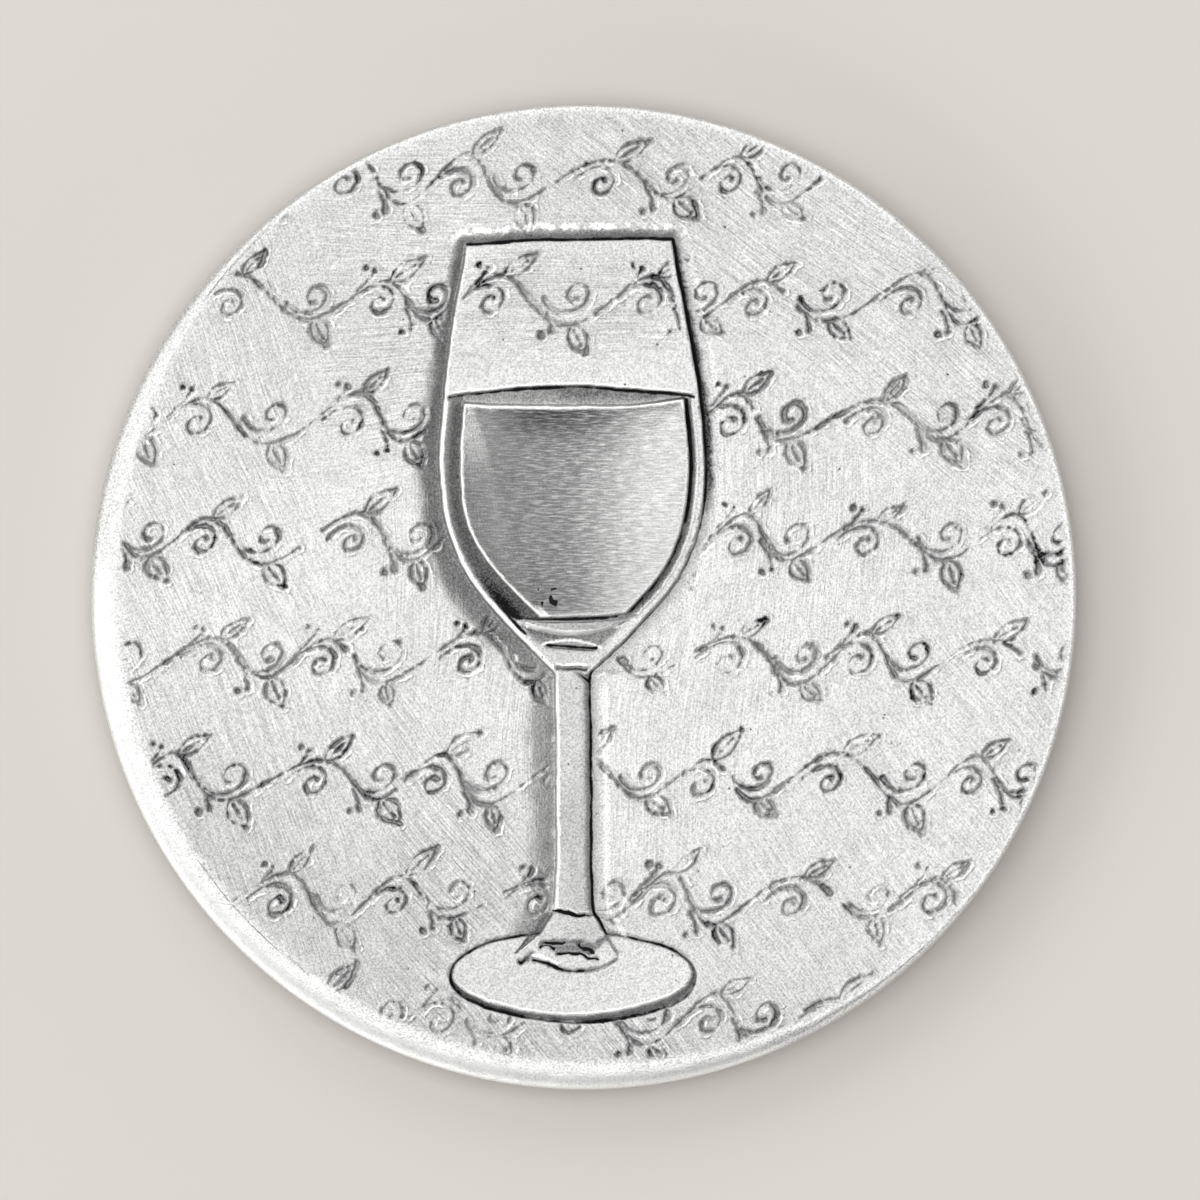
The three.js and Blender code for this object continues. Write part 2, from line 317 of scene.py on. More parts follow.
def moat_relief(x, y, f, g, p, looks):
    """The moat: a ramp that falls to the glass's outline, widest under the bowl, with a soft outer edge.

    On the left, where the ramp faces away from the light, it holds a smooth grey band of painted shade.
    On the right its foot is a crevice under a ragged dark bank, the dark line at the outline is heavier
    there as painted shade, and further out the ramp, which faces the light, carries a painted highlight.
    Above the rim it ends in a crumbled burr.
    """
    stations = [p.collar, p.stem_base, p.stem_top, p.floor, p.belly, p.wine, g.rim_y]
    width = np.interp(y, stations, [2.4, 2.6, 2.8, 3.0, 2.4, 1.7, 1.0])
    depth = g.moat * np.interp(y, stations, [0.7, 0.9, 1.0, 1.0, 0.9, 0.8, 0.65])
    fall = np.clip(1 - (f.d - 0.2) / (1.15 * width), 0, 1)
    height = -depth * fall ** 1.7 * (1.4 - 0.4 * fall)
    above = ease(g.rim_y - 1, g.rim_y + 0.6, y)
    crumbs = grain(x, y, 0.6, 31) + 0.8 * grain(x, y, 0.25, 41)
    burr = above * bell(f.d, 1.4, 0.75) * np.clip(0.7 + 0.45 * crumbs, 0, 1)

    bare = 1 - f.on_foot
    outside = ease(-0.1, 0.1, f.d)
    border = 0.85 * width + 0.4 * grain(x, y, 1.7, 44)
    band = ease(border + 0.3, border - 0.4, f.d) * (1 - f.far) * outside
    comb = 0.16 * grain(0.3 * x, y, 0.24, 42) + 0.16 * grain(x, y, 1.3, 43)
    bank = f.d + comb - 0.5 - 0.3 * ease(g.rim_y - 4, p.wine, y)
    high = ease(p.belly - 7, p.belly, y)
    on_stem = ease(p.stem_top + 4, p.stem_top - 4, y)
    heavy = 0.74 + 0.14 * high + 0.3 * ease(p.belly, p.belly + 9, y) * (1 - 0.4 * above) + 0.3 * on_stem
    # Painted shade in the grey band on the left, where the ramp faces away from the light
    looks.patina += [
        (0.68 - 0.38 * on_stem) * band * (1 - 0.4 * above) * bare,
        0.3 * f.far * ease(1.3, 0.3, f.d + comb) * outside * bare,
        1.1 * f.far * ease(0.15, -0.25, bank) * outside * high * (1 - above),
        0.54 * above * ease(1.0, 0.7, f.d + comb) * outside,
    ]
    looks.shade += [patch(bank) * f.far * outside * high * (1 - above)]
    # The dark line at the outline's foot, made heavier on the right as painted shade
    looks.ink += [near(f.d - 0.12) * (0.2 + 0.8 * f.far) * (heavy + 0.4 * f.rough) * bare]
    # A painted highlight on the ramp right of the glass, where it faces the light
    shine = (1 - above) * (1 - bell(y, p.stem_top, 1.5))
    looks.rub += [burr, (0.64 + 0.1 * on_stem) * f.far * bell(f.d, 1.7, 0.8) * shine * bare]
    return height + 0.06 * burr


def bowl_relief(x, y, f, g, p, looks):
    """The bowl: a thin lip along the outline and, round the wine, a channel that falls towards the wine.

    The channel darkens downwards and is black at its end on the lower left. The lip is bright on the left,
    a painted highlight where it faces the light, and the dark line round the wine is heavier on the right
    as painted shade.
    """
    lip = 0.05 * bell(f.inside, 0.22, 0.15)
    below = ease(0.12, -0.12, y - f.surface_top)
    slope = g.channel * np.clip((f.inside - 0.55) / (f.wall - 0.75), 0, 1)
    stations = [p.stem_top + 1, p.stem_top + 2.2, p.floor - 0.6, p.floor + 1.5]
    runout = np.interp(y, stations, [0, 0.35, 0.5, 1])

    in_bowl = (y < f.surface_low) * (y > p.stem_top + 1)
    channel = ease(0.5, 0.9, f.inside) * ease(0.02, -0.1, f.within) * in_bowl
    lower = ease(p.belly + 2, p.belly - 10, y)
    tone = 0.46 + 0.4 * ease(0.9, 1.5, f.inside) * (1 - lower) + 0.4 * lower
    corner = ease(p.floor + 5, p.floor + 0.5, y) * ease(0.5, -1.5, x)
    tone += corner * (0.1 + 0.65 * ease(2.2, 0.9, f.inside))
    weak = 0.2 * ease(p.stem_top + 2, p.stem_top - 2, y) + 0.45 * ease(p.wine, p.wine + 3, y)
    looks.patina += [tone * channel * (1 - 0.25 * f.far) * (y > f.floor - 0.4)]
    # The dark line round the wine is heavier on the right as painted shade
    looks.ink += [
        near(f.within + 0.18) * (0.2 + (0.95 - 0.2 * lower) * f.far) * (y < f.surface_low) * (y > f.floor),
        0.95 * near(f.inside - 0.75) * corner * ease(p.stem_top + 2.4, p.stem_top + 3.4, y),
    ]
    # Painted highlight on the lip on the left, where it faces the light, and a bright line on the right
    looks.rub += [
        (1.25 - weak + 0.6 * f.rough) * near(f.inside - 0.24) * (1 - f.far) * (y > p.stem_base),
        0.9 * near(f.inside - 0.85) * f.far * (y < f.surface_low) * (y > p.floor),
    ]
    return np.minimum(lip, -slope * below * runout)


def wine_relief(top, x, y, f, p, looks):
    """The wine: the lens of its surface, cut deepest along its upper edge, and a lip round a shallow dish.

    Patina clouds the dish, with painted shade that leaves it darker at its top and left and lighter towards
    its right. Beyond a slanting line its upper left corner is paler, and it is bright along that line.
    Patina in the lens darkens towards its upper edge, partly as painted shade, and a painted shadow lies
    under the lip on the right. The lips carry painted highlights, weaker on the right, and the lower left
    end is bright above a few dark crumbs.
    """
    thick = np.maximum(f.surface_top - f.surface_low, 0.05)
    rise = np.clip((y - f.surface_low) / thick, 0, 1)
    in_lens = ease(0.0, 0.22, f.surface_top - y) * ease(-0.1, 0.5, y - f.surface_low)
    lens = in_lens * ease(0.2, 0.6, f.inside)
    top = np.minimum(top, -(0.1 + 0.35 * rise) * lens)
    top = top + 0.05 * bell(y - f.surface_top, 0.22, 0.15) * ease(0.3, 0.9, f.inside)
    dish = 1 - (1 - np.clip((f.within - 0.4) / 5.5, 0, 1)) ** 2
    share = ease(-0.14, 0.1, f.within)
    top = top * (1 - share) + (0.06 * bell(f.within, 0.2, 0.16) - 0.5 * dish) * share

    drift = x + 0.08 * (p.belly - y) + 1.2 * grain(x, y, 4.5, 32) + 0.6 * grain(x, y, 1.8, 33)
    under = f.surface_low - y
    # Patina over the dish, with painted shade: darker at its top and left, lighter towards its right
    cloud = 0.73 - 0.45 * ease(-1.5, 10.0, drift)
    cloud += 0.19 * ease(4.5, 0.5, under) * ease(8.0, 3.0, x) * ease(-9, -4, x)
    cloud -= 0.1 * ease(-6, -10, x) * ease(p.belly - 3, p.belly + 4, y)
    cloud += 0.04 * ease(p.floor + 6, p.floor + 1, y)
    slant_line = x + 10.3 - 0.31 * (19.4 - y)
    cloud *= 1 - ease(0.15, -0.15, slant_line) * (0.1 + 0.6 * ease(p.belly - 1, p.wine - 2, y))
    end = ease(p.floor + 2.4, p.floor + 0.4, y) * ease(0, -3, x)
    crumbs = 2.1 * grain(x, y, 0.45, 36) * bell(np.hypot(x + 2.4, 1.6 * (y - p.floor - 1.9)), 0, 2.0)
    looks.patina += [
        cloud * f.polish,
        # Patina in the lens, darker towards its upper edge, partly as painted shade
        (0.6 + 0.3 * rise * ease(-7, 1, x) + 0.14 * grain(0.2 * x, y, 0.3, 46)) * lens,
        # A painted shadow under the lip on the right
        0.62 * bell(under, 0.55, 0.32) * ease(1.5, 5.0, x) * (f.inside > f.wall),
    ]
    looks.ink += [
        crumbs * f.polish,
        (1.0 + 0.5 * f.rough) * near(f.surface_top - y - 0.14) * ease(0.2, 0.6, f.inside),
    ]
    # Painted highlights on the lips, weaker on the right, away from the light
    bright = 1.25 - 0.75 * f.far * ease(0.6, 1.2, under) + 0.6 * f.rough
    looks.rub += [
        near(f.shore - 0.17) * bright * (y > f.floor),
        (1.0 + f.rough) * ease(1.5, 0.6, f.shore + f.rough) * share * end,
        0.95 * near(y - f.surface_top - 0.28) * ease(0.3, 0.9, f.inside),
        0.6 * near(slant_line) * f.polish * ease(p.belly - 1, p.belly + 2, y),
    ]
    return top


def base_relief(top, x, y, f, p, looks):
    """The bowl's thick base and the stem's top: a grey crescent and a small lens, each with a bright lip.

    The crescent hangs from the line under the wine. The lens is an arch on a dark line. A dark hollow lies
    between them. The stem ends in a bright edge over a grey step, with a facet cut off its right corner.
    """
    sag = p.floor - 1.05 - 0.9 * (1 - (x / 4.8) ** 2)
    crescent = ease(0.0, 0.25, np.minimum(f.floor - 0.4 - y, y - sag))
    pip_low = p.stem_top + 1.97 - 0.05 * x
    pip_top = pip_low + 0.68 * (1 - (x / 3) ** 2)
    pip = ease(0.0, 0.2, np.minimum(pip_top - y, y - pip_low))
    hollow = ease(0.05, -0.25, y - sag) * ease(-0.05, 0.2, y - np.maximum(pip_top, pip_low))
    hollow *= ease(0.7, 1.1, f.inside - 0.3 * f.far)
    top = top * (1 - crescent) * (1 - pip) - 0.05 * np.maximum(crescent, pip)
    top += line_cut(y - sag + 0.22, 4.6 - np.abs(x), 0.2, 0.22)
    top += line_cut(y - pip_low + 0.16, 2.9 - np.abs(x), 0.17, 0.26)
    step = p.stem_top - 0.42 - 0.06 * x + 0.5 * f.rough
    top += line_cut(y - step, 1.9 - np.abs(x), 0.17, 0.3)
    across = 0.638 * (x - 0.5) + 0.771 * (y - p.stem_top + 0.7)
    along = 0.771 * (x - 0.5) - 0.638 * (y - p.stem_top + 0.7)
    facet = ease(-0.3, 0.5, along) * ease(2.1, 1.7, along)
    top -= 0.25 * facet * bell(across, 0.05, 0.2)

    stem_end = ease(1.9, 1.5, np.abs(x))
    looks.patina += [
        0.36 * crescent,
        (0.72 + 0.4 * f.rough) * hollow,
        0.5 * pip,
        0.14 * ease(0.1, -0.1, y - pip_low) * ease(p.stem_top, p.stem_top + 0.3, y) * (f.inside > 0),
        0.5 * ease(-0.1, 0.1, y - step) * ease(0.1, -0.1, y - p.stem_top) * stem_end,
        0.6 * facet * bell(across, 0.1, 0.3),
    ]
    looks.ink += [
        near(y - f.floor + 0.2) * ease(5.6, 4.6, np.abs(x)) * (1.02 - 0.2 * (x / 5) ** 2 + 0.4 * f.rough),
        0.72 * near(y - np.maximum(pip_top, pip_low) - 0.32) * ease(2.6, 1.4, np.abs(x)),
        near(y - pip_low + 0.02) * ease(3.1, 2.4, np.abs(x)),
        (0.85 + f.rough) * near(y - step) * stem_end,
        (0.66 + 0.22 * along) * near(across) * facet,
    ]
    looks.rub += [
        (1.35 - 0.07 * x) * near(y - sag - 0.1) * ease(5.0, 4.6, np.abs(x)),
        0.95 * near(y - pip_top) * ease(3.2, 2.9, np.abs(x)),
        0.9 * near(y - p.stem_top - 0.05) * stem_end,
    ]
    return top


def stem_relief(top, x, y, f, p, looks):
    """The stem: a little domed, with painted shade along its right side, and cut off by a ragged line
    under a bright lip where the collar begins.
    """
    dome = ease(p.stem_top - 0.4, p.stem_top - 1.2, y) * ease(p.stem_base - 0.5, p.stem_base + 0.5, y)
    top = top - 0.2 * dome * np.clip(np.abs(x) / f.half, 0, 1) ** 4
    cut = p.stem_base - 0.1 - 0.08 * x - 0.25 * bell(x, 0.4, 0.9) + 0.6 * f.rough
    span = ease(2.5, 2.1, np.abs(x))
    looks.patina += [
        0.26 * dome * (f.inside > 0) * (0.8 + 0.5 * grain(x, y, 2.5, 38)),
        # Painted shade along the stem's right side, which faces away from the light
        0.62 * dome * f.far * ease(0.9, 0.2, f.inside) * (f.inside > 0),
    ]
    looks.ink += [(0.84 + 0.3 * bell(x, 0.2, 1.0) + f.rough) * near(y - cut) * span]
    looks.rub += [(0.8 + 0.5 * f.rough) * near(y - cut - 0.42) * span]
    return top + line_cut(y - cut, 2.3 - np.abs(x), 0.2, 0.34)


def foot_relief(height, x, y, f, p, looks):
    """The foot, level with the face in a groove that is widest on its lower right, and the collar on it.

    The collar's right flank is a thin cut, and a grey wedge runs off its left one. Its hem, heavy on the
    left, and its torn ripples are where the metal has run: grey folds with black cracks in them. The
    groove's side and the field just above the foot's upper outline carry painted shade, and the lip
    inside the foot's lower edge a painted highlight.
    """
    groove_width = 0.16 + 0.52 * f.lower * (0.7 + 0.4 * ease(-8, 8, x))
    fall = np.clip(f.from_foot / groove_width, 0, 1) ** 0.8
    groove = -(0.24 + 0.26 * f.lower) * fall * ease(groove_width + 0.16, groove_width, f.from_foot)
    on_collar = ease(0.1, -0.1, f.d)
    around = 1 - on_collar
    ditch = np.minimum(height, groove * around + height * on_collar)

    flank = np.abs(x) - f.half
    on_flank = ease(p.collar - 0.2, p.collar + 0.4, y) * ease(p.stem_base + 0.3, p.stem_base - 0.2, y)
    right = on_flank * (x > 0)
    taper = np.clip((y - p.collar) / 2.6, 0, 1)
    wedge = patch(np.abs(flank - 1.28 + 0.83 * taper) - 0.45 * taper) * (x < 0) * on_flank
    hem = p.collar - 0.4 - 1.25 * np.clip(1 - ((x - 0.7) / 4) ** 2, 0, 1) + 0.5 * f.rough
    on_hem = ease(5.0, 4.6, np.abs(x - 0.4))
    # Folds and cracks as straight runs between points that are given from the middle of the collar's foot
    torn_x, torn_y = x + 0.3 * grain(x, y, 0.5, 45), y - p.collar + 0.8 * f.rough
    folds = np.minimum.reduce([segment(torn_x, torn_y, a, b) for a, b in (
        ((-2.8, 1.25), (0.5, 1.4)), ((0.5, 1.4), (2.1, 0.95)), ((2.1, 0.85), (3.4, 1.75)),
        ((-1.7, 0.8), (2.0, 0.6)), ((-5.15, -0.53), (-3.95, 0.2)))])
    cracks = np.minimum.reduce([segment(torn_x, torn_y, a, b) for a, b in (
        ((-3.2, 1.0), (-1.95, 0.75)), ((-2.6, 1.35), (-0.9, 1.3)), ((0.5, 1.2), (2.3, 0.5)),
        ((-1.3, 0.27), (0.8, 0.2)), ((0.8, 0.2), (2.85, -0.5)), ((-5.3, -0.55), (-4.9, -0.5)))])
    lines = -0.3 * bell(flank, 0.1, 0.16) * right - 0.3 * ease(0.35, 0.65, wedge)
    lines += line_cut(y - hem, 4.6 - np.abs(x - 0.4), 0.17, 0.32)
    lines -= 0.14 * bell(folds, 0, 0.3) + 0.22 * bell(cracks, 0, 0.2)
    bank = bell(y, hem + 0.55, 0.36) * ease(-0.6, -1.8, x) * ease(-4.6, -4.0, x)
    lip = bell(f.from_foot, -0.22, 0.16) * f.lower * around

    side = ease(0.0, 0.12, f.from_foot) * ease(groove_width + 0.1, groove_width, f.from_foot)
    upper = ease(p.stem_base - 0.2, p.stem_base - 0.6, y) * ease(p.collar + 0.9, p.collar + 1.9, y)
    looks.patina += [
        (0.2 + 0.16 * grain(x, 0.12 * y, 0.3, 47)) * upper * ease(0.0, 0.3, f.inside),
        0.8 * bell(folds, 0, 0.35) * f.on_foot,
        0.8 * ease(0.3, 0.7, wedge),
        # Painted shade on the groove's side and just above the foot's upper outline
        (0.6 * side + 0.45 * ease(0.9, 0.1, f.from_foot) * (1 - f.lower) * (f.from_foot > 0)) * around,
    ]
    looks.shade += [wedge, patch(folds - 0.26) * f.on_foot]
    looks.ink += [
        near(flank - 0.1) * right * (0.84 - 0.12 * ease(p.collar + 2.6, p.collar + 2.0, y)),
        (0.98 - 0.26 * ease(-1.2, 0.0, x) + 0.5 * f.rough) * near(y - hem) * on_hem,
        (0.98 + 0.6 * f.rough) * near(cracks) * f.on_foot,
        near(f.from_foot - groove_width) * (0.86 + 0.5 * f.rough) * around,
    ]
    # The bank above the hem is bright, and the lip inside the foot's lower edge is a painted highlight
    looks.rub += [0.95 * bank, near(f.from_foot + 0.2) * f.lower * around]
    return (lines + 0.06 * np.maximum(bank, lip)) * f.on_foot + ditch * (1 - f.on_foot)


def glass_relief(x, y, g, p):
    """The glass and its moat: height below and above the face in millimetres, and how its surface looks.

    Each part adds its looks to four lists, whose largest values count. Patina and shade is the broad dark
    tone: patina in the hollows and painted shade on slopes that face away from the light. Shade is the
    closeness to a crisp grey patch, the black mark that to a dark line of oxide, made heavier as painted
    shade on sides away from the light, and rub and highlight that to an edge that is rubbed bright or
    carries a painted highlight where it faces the light.
    """
    f = glass_frame(x, y, g, p)
    f.polish = ease(0.1, 0.6, f.within)
    looks = SimpleNamespace(patina=[], shade=[], ink=[], rub=[])
    moat = moat_relief(x, y, f, g, p, looks)
    top = bowl_relief(x, y, f, g, p, looks)
    top = wine_relief(top, x, y, f, p, looks)
    top = base_relief(top, x, y, f, p, looks)
    top = stem_relief(top, x, y, f, p, looks)
    outer = ease(-0.16, 0.16, f.d)
    height = foot_relief(top * (1 - outer) + moat * outer, x, y, f, p, looks)
    wear = 0.94 + 0.14 * grain(x, y, 3.5, 39) + 0.12 * grain(x, y, 0.8, 40)

    # The field, where the vine is cut: clear of the moat, the foot and the wine
    free = ease(0.5, 1.3, f.d) * ease(0.5, 1.2, f.from_foot)
    empty = ease(0.5, 0.9, f.inside) * ease(2.4, 3.0, y - f.surface_top)
    return SimpleNamespace(
        height=height, patina=np.maximum.reduce(looks.patina), shade=np.maximum.reduce(looks.shade),
        ink=np.maximum.reduce(looks.ink) * wear, rub=np.maximum.reduce(looks.rub), polish=f.polish,
        free=np.maximum(free, empty))


def stroke(x, y, width):
    """Samples of one cut as rows of x, y and half width.

    The tool's edge is flat, so that a cut is broad across the edge and thin along it. Its end is pressed
    in a little wider.
    """
    t = np.linspace(0, 1, len(x))
    way = np.arctan2(np.gradient(y), np.gradient(x))
    flat = 0.55 + 0.85 * np.abs(np.sin(way - 0.8))
    swell = 1 + 0.5 * np.exp(-((1 - t) / 0.07) ** 2)
    return np.column_stack([x, y, width * flat * swell])


def tendril_points(x, y, side, scale, v):
    """A spiral that leaves the stem and curls in under a crest; its radius falls towards its eye."""
    t = np.linspace(0, 1, 130)
    angle = math.pi - side * (0.15 + 2 * math.pi * 1.3 * t)
    radius = scale * (0.55 + 1.05 * (1 - t) + 1.5 * (1 - t) ** 8)
    return stroke(x + radius * np.cos(angle), y + radius * np.sin(angle), v.stroke * (1.05 - 0.25 * t))


def leaf_points(x, y, angle, size, v):
    """A pointed leaf: two bowed edges from base to tip, and a midrib."""
    t = np.linspace(0, 1, 48)
    bulge = 0.25 * size * np.sin(math.pi * t ** 0.8)
    parts = []
    for side, share, width in ((-1, t, 0.9), (1, t, 0.8), (0, 0.15 + 0.55 * t, 0.6)):
        along, across = share * size, side * bulge
        parts.append(stroke(x + along * math.cos(angle) - across * math.sin(angle),
                            y + along * math.sin(angle) + across * math.cos(angle), v.stroke * width))
    return np.concatenate(parts)


def berry_points(x, y, side, v):
    """Two round berries on one short bowed stalk."""
    t = np.linspace(0, 1, 24)
    stalk = stroke(x + 1.1 * t, y + side * 1.6 * t ** 1.4, v.stroke * 0.8)
    tips = np.array([(1.2, 2.0), (0.2, 2.3)]) * (1, side) + (x, y)
    return np.concatenate([stalk, np.column_stack([tips, np.full(2, v.stroke * 1.7)])])


def vine_row(middle, reach, v, rng):
    """One row of the vine, leaning to the right: a wave of uneven length with its tendrils and leaves.

    The wave's phase grows unevenly along the row. Under each crest a tendril curls, and a leaf or
    berries stand outside it. Every few crests the stem is broken, as a hand would lift the tool.
    """
    # How far a row leans for its height, and half the width of a break
    slant, lifted = 0.28, 0.9
    x = np.arange(-reach - v.wave, reach + v.wave, RASTER_STEP)
    drift = rng.uniform(0, 2 * math.pi, 3)
    phase = 2 * math.pi * x / v.wave + drift[0] + 0.55 * np.sin(x / 4.7 + drift[1])
    swing = v.swing * (1 + 0.18 * np.sin(x / 6.1 + drift[2]))
    height = swing * np.sin(phase)
    turns = np.arange(math.ceil(phase[0] / math.pi), math.floor(phase[-1] / math.pi))
    crests = np.interp(turns * math.pi + math.pi / 2, phase, x)
    lifts = np.interp(turns[(turns + rng.integers(0, 5)) % 5 == 0] * math.pi, phase, x)
    gap = np.abs(x[:, None] - lifts[None, :]).min(1)
    parts = [stroke(x, height, v.stroke)[gap > lifted]]
    for turn, crest in zip(turns, crests):
        side = 1 if turn % 2 == 0 else -1
        jitter = rng.uniform(-1, 1, 5)
        level = side * np.interp(crest, x, swing)
        parts.append(tendril_points(crest + 0.15 * jitter[0], -side * (0.5 + 0.2 * jitter[1]), side,
                                    1.0 + 0.12 * jitter[2], v))
        parts.append(leaf_points(crest + 0.5, level, side * (0.8 + 0.3 * jitter[3]),
                                 3.2 + 0.6 * jitter[4], v))
        if jitter[2] > -0.4:
            parts.append(berry_points(crest - 2.6, level * 0.5, side, v))
    points = np.concatenate(parts)
    points[:, 0] += slant * points[:, 1]
    points[:, 1] += middle
    return points


def vine_points(face_radius, v):
    """Every sample of the vine's cuts, as x, y and half width, row by row."""
    rng = np.random.default_rng(v.seed)
    middles = v.top_row - v.pitch * np.arange(v.rows)
    reaches = np.sqrt(np.maximum(face_radius ** 2 - middles ** 2, 1.0))
    points = np.concatenate([
        vine_row(middle, reach, v, rng) for middle, reach in zip(middles, reaches)])
    return points[np.hypot(points[:, 0], points[:, 1]) < face_radius + 1]


def nearest_edge(points, extent, count):
    """Distance from each raster point to the edge of the nearest cut, negative inside it.

    Every sample stamps its distances on a small square of the raster, and the least is kept.
    """
    reach = 1.0
    least = np.full((count, count), reach, np.float32)
    span = np.arange(-int(reach / RASTER_STEP) - 1, int(reach / RASTER_STEP) + 2)
    for part in np.array_split(points, max(1, len(points) // 4000)):
        column = np.rint((part[:, 0] + extent) / RASTER_STEP).astype(np.int64)
        line = np.rint((part[:, 1] + extent) / RASTER_STEP).astype(np.int64)
        columns = np.clip(column[:, None, None] + span[None, None, :], 0, count - 1)
        lines = np.clip(line[:, None, None] + span[None, :, None], 0, count - 1)
        gap = np.hypot(columns * RASTER_STEP - extent - part[:, 0, None, None],
                       lines * RASTER_STEP - extent - part[:, 1, None, None])
        gap = (gap - part[:, 2, None, None]).astype(np.float32)
        np.minimum.at(least, (np.broadcast_to(lines, gap.shape), np.broadcast_to(columns, gap.shape)), gap)
    return least


def pit_points(face_radius, seed):
    """Places and radii of the small casting pits, spread evenly over the face."""
    rng = np.random.default_rng(seed)
    count = 360
    radius = face_radius * np.sqrt(rng.uniform(0, 1, count))
    angle = rng.uniform(0, 2 * math.pi, count)
    size = 0.03 + 0.1 * rng.uniform(0, 1, count) ** 3
    return np.stack([radius * np.cos(angle), radius * np.sin(angle), size], 1)


def edge_radius(angle, c):
    """Radius at which the face begins to roll off, smallest on the lower left where the edge is worn."""
    radius = CASTING_HIGH.x / MM - c.draft
    toward_side = ease(-0.3, 0.9, np.cos(angle - WORN_SIDE))
    return radius - c.roll - (c.worn_roll - c.roll) * toward_side


def vine_relief(face, edge, x, y, v):
    """The vine: a round-bottomed cut with a ragged burr that carries a painted highlight on its right and
    lower side, where it faces the light.

    edge is the distance from the nearest cut's edge, which noise makes ragged. Grey fills the cut and black
    its middle, most on the sides that face right and down, away from the light, as painted shade. Patina
    and painted shade spread a little round the cut, and every slope off the wine that faces right and down
    gets painted shade. The hand has pressed harder in some places.
    """
    away_y, away_x = np.gradient(edge, RASTER_STEP)
    lit = ease(-0.5, 0.7, 0.8 * away_x - 0.6 * away_y + 0.5 * grain(x, y, 2.6, 15))
    edge = edge + 0.14 * grain(x, y, 0.36, 5) + 0.14 * grain(x, y, 1.1, 6) - 0.12 * grain(x, y, 3.1, 12)
    cut = ease(0.1, -0.24, edge) * (0.85 + 0.4 * grain(x, y, 1.9, 7)) * face.free
    burr = bell(edge, 0.28, 0.17) * np.clip(0.6 + grain(x, y, 0.7, 8), 0, 1) * face.free
    face.height = face.height - v.depth * cut + BURR * burr
    slope_y, slope_x = np.gradient(face.height, RASTER_STEP)
    # Slopes that face right and down, away from the light, are given painted shade
    facing = ease(-0.5, 0.6, 0.6 * slope_y - 0.8 * slope_x)
    fill = 0.48 - edge / 0.5 - 0.15 * lit + 0.16 * grain(x, y, 1.7, 16) + 0.12 * grain(x, y, 0.6, 17)
    press = np.clip(0.84 + 0.5 * grain(x, y, 5.0, 18), 0.4, 1) * face.free
    face.shade = np.maximum(face.shade, np.clip(fill, 0, 1) * press)
    dark = 0.35 + 0.2 * facing + 0.24 * grain(x, y, 1.3, 13) - 0.9 * edge
    most = 0.6 + 0.14 * facing + 0.1 * grain(x, y, 2.3, 14)
    face.ink = np.maximum(face.ink, np.clip(dark, 0, most) * press)
    # Patina round the cut, with painted shade on its slopes away from the light
    cut_patina_and_shade = 0.3 * ease(0.3, -0.1, edge) * (0.4 + 0.6 * facing) * face.free
    # Painted shade on every slope off the wine that faces right and down
    steep = 0.25 * ease(0.6, 1.0, facing) * (1 - face.polish)
    face.patina = np.maximum.reduce([face.patina, cut_patina_and_shade, steep])
    # Painted highlight on the burr where it faces the light
    face.rub = np.maximum(face.rub, burr * lit)


def age_relief(face, pits, x, y):
    """Casting pits, as small dark dimples, and a faint darkening towards the bottom and the top.

    pits is the distance from the nearest pit's edge.
    """
    face.height = face.height - 0.1 * ease(0.05, -0.08, pits) * (1 - 0.7 * face.polish)
    face.ink = np.maximum(face.ink, np.clip(0.6 - pits / 0.3, 0, 1) * (1 - 0.6 * face.polish))
    darkening = 0.18 * ease(14, 44, -0.35 * x - 0.93 * y) + 0.1 * ease(14, 40, y - 0.3 * x)
    darkening *= (0.4 + 0.6 * face.free) * (1 - face.polish)
    face.patina = np.maximum(face.patina, darkening)


def edge_relief(face, x, y, c):
    """All runs out to level before the edge rolls off. The edge carries a painted highlight, brightest on
    the lower left.
    """
    angle = np.arctan2(y, x)
    to_edge = edge_radius(angle, c) - np.hypot(x, y)
    level = ease(0.1, 1.0, to_edge)
    toward_side = ease(0.2, 0.6, np.cos(angle - HIGHLIGHT_SIDE))
    face.height = (face.height + 0.025 * grain(x, y, 11.0, 10)) * level
    face.patina, face.shade, face.ink = face.patina * level, face.shade * level, face.ink * level
    # A painted highlight along the edge, brightest on the lower left
    face.rub = np.maximum.reduce([
        face.rub * level,
        toward_side * (0.38 + 0.42 * ease(1.6, -1.4, to_edge)),
        0.64 * ease(1.2, 0.0, to_edge),
    ])
    face.field = face.free * level


def face_rasters(c):
    """Height and looks of the whole face on a square raster, in millimetres.

    The relief is drawn on coordinates that wander a little, so that its edges look cut by hand, and the
    bowl leans a little to the left.
    """
    g, v = in_millimetres("coaster_glass"), in_millimetres("coaster_vine")
    p = glass_places(g)
    face_radius = CASTING_HIGH.x / MM - c.draft - c.roll
    extent = math.ceil(face_radius) + 1.0
    count = int(2 * extent / RASTER_STEP) + 1
    axis = np.linspace(-extent, extent, count, dtype=np.float32)
    x, y = np.meshgrid(axis, axis)
    wander_x = 0.13 * grain(x, y, 5.0, 1) + 0.05 * grain(x, y, 0.9, 2)
    wander_y = 0.13 * grain(x, y, 5.0, 3) + 0.05 * grain(x, y, 0.9, 4)
    lean = 0.3 * np.clip((y - p.belly) / g.belly_drop, 0, 1)
    face = glass_relief(x + wander_x + lean - g.axis_x, y + wander_y, g, p)
    vine_relief(face, nearest_edge(vine_points(face_radius, v), extent, count), x, y, v)
    age_relief(face, nearest_edge(pit_points(face_radius, 9), extent, count), x, y)
    edge_relief(face, x, y, c)
    face.extent = extent
    return face


